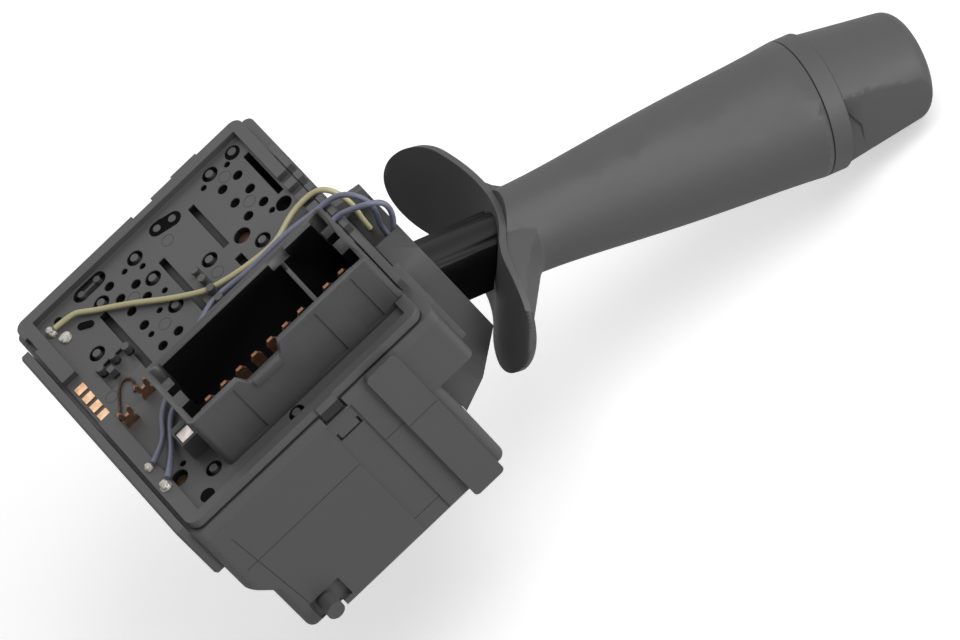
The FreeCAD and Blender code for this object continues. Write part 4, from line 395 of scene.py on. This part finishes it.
def smooth_skin(name, node_name, kind, body, angle=35):
    """A piece with a CAD node's shape whose curved faces shade smoothly up to real edges."""
    mesh = NODES[node_name].data.copy()
    mesh.name = name
    shell = bmesh.new()
    shell.from_mesh(mesh)
    bmesh.ops.remove_doubles(shell, verts=shell.verts, dist=MERGE_DISTANCE)
    shell.to_mesh(mesh)
    shell.free()
    mesh.shade_smooth()
    mesh.set_sharp_from_angle(angle=math.radians(angle))
    mesh.materials.clear()
    mesh.materials.append(finish_of(kind))
    piece = placed(name, mesh)
    flats = piece.modifiers.new("flats", "WEIGHTED_NORMAL")
    flats.keep_sharp = True
    flats.weight = FACE_WEIGHT
    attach(piece, body)
    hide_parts(node_name)
    return piece


def lumpy(mesh, height, width):
    """Divides a mesh and moves its points in and out by smooth noise."""
    shell = bmesh.new()
    shell.from_mesh(mesh)
    bmesh.ops.subdivide_edges(shell, edges=shell.edges, cuts=1, use_grid_fill=True)
    shell.normal_update()
    moves = [point.normal * noise.noise(point.co / width) * height for point in shell.verts]
    for point, move in zip(shell.verts, moves):
        point.co += move
    shell.to_mesh(mesh)
    shell.free()


class SWITCH_OT_mouldings(bpy.types.Operator):
    """Finish the housing, the carrier frame, the plate, the socket and the neck"""
    bl_idname = "switch.mouldings"
    bl_label = "Mouldings"

    def execute(self, context):
        dress("nylon_housing", "housing", "guide_rail")
        dress("nylon_carrier", "carrier_frame")
        dress("nylon_plate", "terminal_plate", "window_block", "wire_retainers")
        dress("nylon_stakes", "lead_carrier")
        dress("nylon_inner", "lead_guide", "switch_floor", "detent_block")
        smooth_skin("neck_shell", "stalk_neck", "nylon_housing", "body")
        shroud = smooth_skin("socket_walls", "connector_shroud", "nylon_socket",
                             "body")
        shroud.data.materials.append(finish_of("nylon_well"))
        # Painted shade: faces deep in the plug bays take the black material, apart from level faces
        # above the height lit.
        lowest, highest, lit = PLUG_BAYS
        for face in shroud.data.polygons:
            deep = all(low * MM < at < high * MM
                       for low, at, high in zip(lowest, face.center, highest))
            left_unshaded = face.normal.z > LEVEL and face.center.z > lit * MM
            face.material_index = int(deep and not left_unshaded)
        return {"FINISHED"}


class SWITCH_OT_contacts(bpy.types.Operator):
    """Finish the blades, strips, studs, forks and solder"""
    bl_idname = "switch.contacts"
    bl_label = "Contacts and solder"

    def execute(self, context):
        dress("stamped_copper", "contact_strips", "fork_terminals", "turn_bridge", "dimmer_bridge")
        dress("wiped_copper", "edge_contacts")
        dress("browned_copper", "contact_studs")
        dress("tinned_plate", "window_contact")
        dress("stamped_blade", "blade_terminals")
        beads = smooth_skin("solder_beads", "solder_joints", "set_solder", "body",
                            angle=80)
        lumpy(beads.data, LUMP_HEIGHT, LUMP_WIDTH)
        return {"FINISHED"}


class SWITCH_OT_mechanism(bpy.types.Operator):
    """Finish the yoke, sliders, rotor, rod and springs"""
    bl_idname = "switch.mechanism"
    bl_label = "Mechanism"

    def execute(self, context):
        dress("acetal_slider", "turn_yoke", "cross_pin", "detent_plunger", "turn_slider",
              "dimmer_slider")
        dress("nylon_inner", "light_contact_plate", "selector_rod", "light_rotor")
        smooth_skin("detent_coil", "detent_spring", "drawn_steel", "turn")
        smooth_skin("horn_coil", "horn_spring", "drawn_steel", "knob")
        return {"FINISHED"}


class SWITCH_OT_lever(bpy.types.Operator):
    """Finish the root, the bent cover, the handle, the ring, the knob and the button"""
    bl_idname = "switch.lever"
    bl_label = "Lever"

    def execute(self, context):
        smooth_skin("lever_root", "stalk_root", "acetal_root", "stalk")
        smooth_skin("lever_cover", "cover_flange", "abs_lever", "stalk")
        smooth_skin("lever_grip", "handle", "abs_lever", "stalk", angle=28)
        smooth_skin("lever_ring", "index_ring", "abs_lever", "stalk")
        smooth_skin("lever_knob", "light_knob", "abs_lever", "knob", angle=28)
        smooth_skin("lever_button", "horn_button", "abs_lever", "button")
        return {"FINISHED"}


# The leads' finish, slot and route, in the housing's millimetres. The routes follow the photograph
# and stay near the CAD tubes that they replace. The offset leads from the housing's zero to the
# frame's.
HOUSING_OFFSET = Vector((2.3, 0, 0))
LEAD_ROUTES = {
    "cream_lead": ("vinyl_cream", "cream_cover", (
        (7.7, 33.3, 9.2), (10.6, 32.9, 9.3), (13.0, 32.3, 9.3), (14.4, 31.1, 9.3),
        (16.6, 28.8, 9.2), (20.8, 24.9, 9.3), (25.0, 20.8, 9.3), (29.2, 16.3, 9.2),
        (33.0, 12.5, 9.3), (37.2, 8.9, 9.3), (40.6, 7.6, 9.2), (45.5, 6.0, 9.3), (51.6, 5.1, 9.2),
        (54.8, 4.8, 9.3), (57.6, 5.6, 9.3), (60.8, 7.2, 9.4), (64.2, 7.9, 9.6), (67.6, 7.5, 10.0),
        (70.0, 6.2, 10.4), (71.8, 4.0, 9.8), (72.8, 1.9, 7.4), (72.9, 0.7, 4.0), (72.2, 0.2, 0.2),
        (72.2, 0.2, -5.6))),
    "grey_lead": ("vinyl_grey", "grey_cover", (
        (4.2, -20.3, 10.9), (7.2, -18.4, 10.4), (9.8, -14.8, 9.5), (11.6, -10.6, 9.2),
        (14.8, -7.2, 9.3), (19.4, -5.2, 9.2), (23.6, -1.8, 9.3), (28.2, 1.4, 9.2), (32.0, 3.0, 9.3),
        (35.7, 4.8, 9.3), (38.9, 5.3, 9.2), (42.4, 4.9, 9.2), (46.5, 3.8, 9.6), (51.0, 3.4, 10.1),
        (56.9, 3.4, 10.4), (61.6, 2.9, 10.4), (65.9, 2.0, 10.4), (69.2, 1.5, 10.7),
        (71.6, 0.3, 11.2), (73.8, -1.8, 11.1), (75.4, -4.2, 10.0), (76.0, -5.6, 7.6),
        (75.2, -5.6, 4.0), (74.0, -5.2, 0.6), (74.0, -5.2, -5.6))),
    "violet_lead": ("vinyl_violet", "violet_cover", (
        (4.4, -26.7, 11.0), (7.2, -23.6, 10.7), (9.4, -19.6, 9.8), (11.4, -15.2, 9.3),
        (14.0, -11.2, 9.2), (18.4, -9.4, 9.3), (23.8, -10.0, 9.2), (30.0, -10.9, 9.3),
        (37.5, -10.9, 9.2), (45.0, -9.6, 9.3), (52.5, -7.4, 9.2), (59.0, -4.8, 9.4),
        (64.0, -3.6, 9.8), (68.6, -3.5, 10.3), (71.1, -5.3, 11.0), (73.3, -7.2, 11.5),
        (75.8, -8.9, 11.4), (77.9, -9.6, 9.9), (78.3, -9.4, 7.0), (77.2, -8.8, 3.0),
        (74.8, -8.2, -0.6), (74.8, -8.2, -5.6))),
}


def begun_tree(name, **sockets):
    """A geometry node tree with those named inputs and a finish, and its input node."""
    tree = bpy.data.node_groups.new(name, "GeometryNodeTree")
    for label, kind in {"Geometry": "Geometry", **sockets, "Finish": "Material"}.items():
        tree.interface.new_socket(label, in_out="INPUT", socket_type="NodeSocket" + kind)
    tree.interface.new_socket("Geometry", in_out="OUTPUT", socket_type="NodeSocketGeometry")
    return tree, add_node(tree, "NodeGroupInput")


def ended_tree(tree, given, geometry):
    """The tree, with its geometry made real, given its finish and put out."""
    whole = add_node(tree, "GeometryNodeRealizeInstances", {"Geometry": geometry})
    painted = add_node(tree, "GeometryNodeSetMaterial",
                       {"Geometry": whole.outputs["Geometry"], "Material": given.outputs["Finish"]})
    add_node(tree, "NodeGroupOutput", {"Geometry": painted.outputs["Geometry"]})
    return tree


def tube_tree():
    """Geometry nodes that draw a round tube along a curve, with closed ends."""
    tree, given = begun_tree("lead_tube", Diameter="Float", Sides="Int")
    half = add_node(tree, "ShaderNodeMath", {0: given.outputs["Diameter"], 1: 2.0},
                    operation="DIVIDE")
    ring = add_node(tree, "GeometryNodeCurvePrimitiveCircle",
                    {"Resolution": given.outputs["Sides"], "Radius": half.outputs[0]},
                    mode="RADIUS")
    tube = add_node(tree, "GeometryNodeCurveToMesh",
                    {"Curve": given.outputs["Geometry"], "Profile Curve": ring.outputs["Curve"],
                     "Fill Caps": True})
    soft = add_node(tree, "GeometryNodeSetShadeSmooth", {"Geometry": tube.outputs["Mesh"]})
    return ended_tree(tree, given, soft.outputs["Geometry"])


def ring_tree():
    """Geometry nodes that set a flat wire ring on every point."""
    tree, given = begun_tree("ejector_rings", Radius="Float", Line="Float")
    ring = add_node(tree, "GeometryNodeCurvePrimitiveCircle",
                    {"Resolution": RING_SIDES, "Radius": given.outputs["Radius"]}, mode="RADIUS")
    line = add_node(tree, "GeometryNodeCurvePrimitiveCircle",
                    {"Resolution": LINE_SIDES, "Radius": given.outputs["Line"]}, mode="RADIUS")
    wire = add_node(tree, "GeometryNodeCurveToMesh",
                    {"Curve": ring.outputs["Curve"], "Profile Curve": line.outputs["Curve"]})
    copies = add_node(tree, "GeometryNodeInstanceOnPoints",
                      {"Points": given.outputs["Geometry"], "Instance": wire.outputs["Mesh"]})
    return ended_tree(tree, given, copies.outputs["Instances"])


def run_tree(holder, tree, name, **inputs):
    """Runs a node tree on an object and returns its result as a plain mesh piece at the origin."""
    modifier = holder.modifiers.new("shape", "NODES")
    modifier.node_group = tree
    for socket in tree.interface.items_tree:
        if socket.in_out == "INPUT" and socket.name in inputs:
            modifier[socket.identifier] = inputs[socket.name]
    bpy.context.view_layer.update()
    seen = holder.evaluated_get(bpy.context.evaluated_depsgraph_get())
    mesh = bpy.data.meshes.new_from_object(seen)
    mesh.name = name
    holder.modifiers.remove(modifier)
    bpy.data.objects.remove(holder)
    return placed(name, mesh)


def drawn_path(name, routes, kind):
    """A curve object through points in the housing's millimetres, one spline for each route."""
    curve = bpy.data.curves.new(name + "_path", "CURVE")
    curve.dimensions = "3D"
    curve.resolution_u = 8
    for points in routes:
        spline = curve.splines.new(kind)
        spline.points.add(len(points) - 1)
        for knot, point in zip(spline.points, points):
            knot.co = ((Vector(point) + HOUSING_OFFSET) * MM).to_4d()
        if kind == "NURBS":
            spline.order_u = 3
            spline.use_endpoint_u = True
    return placed(name + "_path", curve)


class SWITCH_OT_leads(bpy.types.Operator):
    """Draw the three leads as smooth tubes along their routes"""
    bl_idname = "switch.leads"
    bl_label = "Leads"

    def execute(self, context):
        tree = tube_tree()
        wide = context.scene.switch_sizes.lead
        for node_name, (kind, slot, points) in LEAD_ROUTES.items():
            holder = drawn_path(node_name, (points,), "NURBS")
            piece = run_tree(holder, tree, node_name.replace("lead", "wire"),
                             Diameter=wide, Sides=LEAD_SIDES, Finish=finish_of(kind))
            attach(piece, "body")
            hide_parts(node_name)
        return {"FINISHED"}


# Marks of the mould and small fittings, in the housing's millimetres.
PLATE_TOP = 8.2
EJECTOR_RINGS = (
    (57.0, 32.0), (57.3, 21.0), (38.6, 29.9), (41.9, 11.8), (24.8, 24.1), (26.0, 11.4), (6.9, 6.3))
MOULD_SEAMS = (
    ((3.0, -42.0, -10.6), (36.0, -42.0, -10.6)), ((43.5, -42.0, -10.8), (49.1, -42.0, -10.8)),
    ((49.3, -43.5, -11.3), (57.3, -43.5, -11.3)), ((36.1, -41.5, -34.5), (43.4, -41.5, -34.5)),
    ((5.4, -42.0, -0.6), (7.6, -42.0, -33.4)))
BROWN_STRIP = (
    (4.9, -1.4, 8.6), (6.4, 1.1, 8.6), (8.6, 5.2, 8.6), (10.4, 7.2, 8.6), (12.4, 6.8, 8.6),
    (12.9, 4.4, 8.6), (11.3, 2.1, 8.6))
# Start, end, radius, lowest and highest point of each rounded patch.
# Black patches that paint the shade at the bottom of the stake wells.
WELL_SHADE_PATCHES = (
    ((61.8, 35.9), (61.8, 35.9), 1.9, 8.1, 8.24),
    ((38.6, 34.9), (42.6, 33.7), 2.0, 8.1, 8.24),
    ((8.2, -36.2), (8.2, -36.2), 1.8, 8.1, 8.24),
    ((9.2, 35.2), (9.2, 35.2), 1.1, 8.1, 8.24),
    ((12.2, 28.9), (14.0, 27.5), 0.9, 8.1, 8.5))
STAKE_PINS = (
    ((61.9, 36.1), (61.9, 36.1), 1.05, 8.15, 8.5),
    ((38.6, 34.8), (38.6, 34.8), 0.95, 8.15, 8.5),
    ((42.5, 33.8), (42.5, 33.8), 0.95, 8.15, 8.5),
    ((16.8, 36.3), (16.8, 36.3), 0.85, 6.0, 8.4),
    ((21.5, 36.5), (21.5, 36.5), 0.85, 6.0, 8.4),
    ((16.8, 36.3), (21.5, 36.5), 0.35, 6.0, 8.1))


def patches(name, kind, rows):
    """Closed patches that stand on the plate, each rounded about its start and its end."""
    shell = bmesh.new()
    for start, end, radius, bottom, top in rows:
        first, last = Vector(start), Vector(end)
        heading = math.atan2(last.y - first.y, last.x - first.x) if last != first else 0
        rim = []
        for step in range(PATCH_SIDES):
            turn = heading + math.pi / 2 + math.tau * (step + 0.5) / PATCH_SIDES
            centre = first if step < PATCH_SIDES // 2 else last
            rim.append(centre + radius * Vector((math.cos(turn), math.sin(turn))))
        low, high = ([shell.verts.new((Vector((p.x, p.y, z)) + HOUSING_OFFSET) * MM) for p in rim]
                     for z in (bottom, top))
        for here in range(PATCH_SIDES):
            after = (here + 1) % PATCH_SIDES
            shell.faces.new((low[here], low[after], high[after], high[here]))
        shell.faces.new(high)
        shell.faces.new(reversed(low))
    mesh = bpy.data.meshes.new(name)
    shell.to_mesh(mesh)
    shell.free()
    mesh.materials.append(finish_of(kind))
    return placed(name, mesh)


class SWITCH_OT_marks(bpy.types.Operator):
    """Add the ejector rings, mould seams, stake heads with painted shade in their wells, and the
    brown strip
    """
    bl_idname = "switch.marks"
    bl_label = "Mould marks"

    def execute(self, context):
        sizes = context.scene.switch_sizes
        mesh = bpy.data.meshes.new("ring_points")
        centres = [(Vector((x, y, PLATE_TOP)) + HOUSING_OFFSET) * MM for x, y in EJECTOR_RINGS]
        mesh.from_pydata(centres, [], [])
        rings = run_tree(placed("ring_points", mesh), ring_tree(), "ejector_rings",
                         Radius=sizes.ring, Line=sizes.seam / 2, Finish=finish_of("nylon_housing"))
        tube = bpy.data.node_groups["lead_tube"]
        seams = run_tree(drawn_path("mould_seams", MOULD_SEAMS, "POLY"), tube, "mould_seams",
                         Diameter=sizes.seam, Sides=LINE_SIDES, Finish=finish_of("nylon_inner"))
        strip = run_tree(drawn_path("brown_strip", (BROWN_STRIP,), "NURBS"), tube, "brown_strip",
                         Diameter=sizes.strip, Sides=STRIP_SIDES,
                         Finish=finish_of("browned_copper"))
        # Painted shade: black patches in the stake wells.
        wells = patches("stake_wells", "nylon_well", WELL_SHADE_PATCHES)
        pins = patches("stake_pins", "nylon_housing", STAKE_PINS)
        for piece, slot in ((rings, "plate_grey"), (seams, "housing_grey"), (strip, "copper_strip"),
                            (wells, "dark_inner"), (pins, "plate_grey")):
            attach(piece, "body")
        return {"FINISHED"}


def set_floor():
    """A wide pale floor just below the switch, which looks a little brighter than it is."""
    lowest = CAD_BOX[0][2] - FLOOR_GAP
    corners = ((-1, -1), (1, -1), (1, 1), (-1, 1))
    mesh = bpy.data.meshes.new("floor")
    mesh.from_pydata([(x * FLOOR_REACH, y * FLOOR_REACH, lowest) for x, y in corners],
                     [], [(0, 1, 2, 3)])
    # Painted board: an even matt white with hardly any tooth.
    made, tree, place = blank("pale_floor")
    tooth = add_node(tree, "ShaderNodeTexNoise",
                     {"Vector": place, "Scale": 1 / FLOOR_TOOTH, "Detail": 2.0})
    white = add_node(tree, "ShaderNodeMix",
                     {"Factor": tooth.outputs["Fac"], MIX_A: (0.86, 0.86, 0.86, 1),
                      MIX_B: (0.9, 0.9, 0.9, 1)}, data_type="RGBA")
    matt = add_node(tree, "ShaderNodeBsdfPrincipled",
                    {"Base Color": white.outputs[MIXED], "Roughness": 0.9})
    path = add_node(tree, "ShaderNodeLightPath")
    lift = add_node(tree, "ShaderNodeMath", {0: path.outputs["Is Camera Ray"], 1: FLOOR_GLOW},
                    operation="MULTIPLY")
    glow = add_node(tree, "ShaderNodeEmission",
                    {"Color": (1, 1, 1, 1), "Strength": lift.outputs[0]})
    closed(tree, add_node(tree, "ShaderNodeAddShader", {0: matt.outputs[0], 1: glow.outputs[0]}))
    mesh.materials.append(made)
    placed("floor", mesh)


def set_sky():
    """An even white world, dimmer for the light that it sheds than where it is seen."""
    world = bpy.data.worlds.new("studio")
    bpy.context.scene.world = world
    world.use_nodes = True
    sky = world.node_tree
    sky.nodes.clear()
    ray = add_node(sky, "ShaderNodeLightPath")
    direct = add_node(sky, "ShaderNodeMath",
                      {0: ray.outputs["Is Camera Ray"], 1: ray.outputs["Is Glossy Ray"]},
                      operation="MAXIMUM")
    strength = add_node(sky, "ShaderNodeMapRange",
                        {"Value": direct.outputs[0], "To Min": SKY_STRENGTH, "To Max": 1.0})
    air = add_node(sky, "ShaderNodeBackground",
                   {"Color": (1, 1, 1, 1), "Strength": strength.outputs["Result"]})
    add_node(sky, "ShaderNodeOutputWorld", {"Surface": air.outputs[0]})


def set_lamps():
    """Soft square lamps that face the middle of the switch."""
    middle = (CAD_BOX[0] + CAD_BOX[1]) / 2
    for name, way, width, power in LAMPS:
        light = bpy.data.lights.new(name, "AREA")
        light.shape = "SQUARE"
        light.size = width
        light.energy = power
        lamp = placed(name, light)
        lamp.location = middle + Vector(way)
        lamp.rotation_mode = "QUATERNION"
        lamp.rotation_quaternion = Vector(way).to_track_quat("Z", "Y")


def set_camera():
    """The photograph's camera: far away, tilted down and rolled."""
    view = bpy.data.cameras.new("view")
    view.lens = LENS
    view.sensor_width = SENSOR
    view.clip_start = 0.1
    view.clip_end = 20
    along = Vector((1, 0, 0))
    right = along * ROLL_COSINE - VIEW_TILT * ROLL_SINE
    up = along * ROLL_SINE + VIEW_TILT * ROLL_COSINE
    back = right.cross(up)
    turn = Matrix((right, up, back)).transposed().to_4x4()
    place = VIEW_CENTRE + back * VIEW_WIDTH * view.lens / view.sensor_width
    eye = placed("view", view)
    eye.matrix_world = Matrix.Translation(place) @ turn
    bpy.context.scene.camera = eye


class SWITCH_OT_stage(bpy.types.Operator):
    """Set the pale floor, the soft lights and the camera"""
    bl_idname = "switch.stage"
    bl_label = "Stage"

    def execute(self, context):
        set_floor()
        set_sky()
        set_lamps()
        set_camera()
        context.scene.view_settings.view_transform = "Standard"
        return {"FINISHED"}


class SWITCH_PT_panel(bpy.types.Panel):
    """The switch's settings and steps"""
    bl_idname = "SWITCH_PT_panel"
    bl_label = "Stalk switch"
    bl_space_type = "VIEW_3D"
    bl_region_type = "UI"
    bl_category = "Switch"

    def draw(self, context):
        for group in (context.scene.switch_sizes, context.scene.switch_colours):
            for field in group.__annotations__:
                self.layout.prop(group, field)
        for step in STEPS:
            self.layout.operator(step.bl_idname)


STEPS = (SWITCH_OT_mouldings, SWITCH_OT_contacts, SWITCH_OT_mechanism, SWITCH_OT_lever,
         SWITCH_OT_leads, SWITCH_OT_marks, SWITCH_OT_stage)
CLASSES = (SwitchSizes, SwitchColours, *STEPS, SWITCH_PT_panel)


def register():
    for kind in CLASSES:
        bpy.utils.register_class(kind)
    bpy.types.Scene.switch_sizes = bpy.props.PointerProperty(type=SwitchSizes)
    bpy.types.Scene.switch_colours = bpy.props.PointerProperty(type=SwitchColours)


def unregister():
    del bpy.types.Scene.switch_colours
    del bpy.types.Scene.switch_sizes
    for kind in reversed(CLASSES):
        bpy.utils.unregister_class(kind)


def main():
    register()
    bpy.ops.switch.mouldings()
    bpy.ops.switch.contacts()
    bpy.ops.switch.mechanism()
    bpy.ops.switch.lever()
    bpy.ops.switch.leads()
    bpy.ops.switch.marks()
    bpy.ops.switch.stage()


if __name__ == "__main__":
    main()
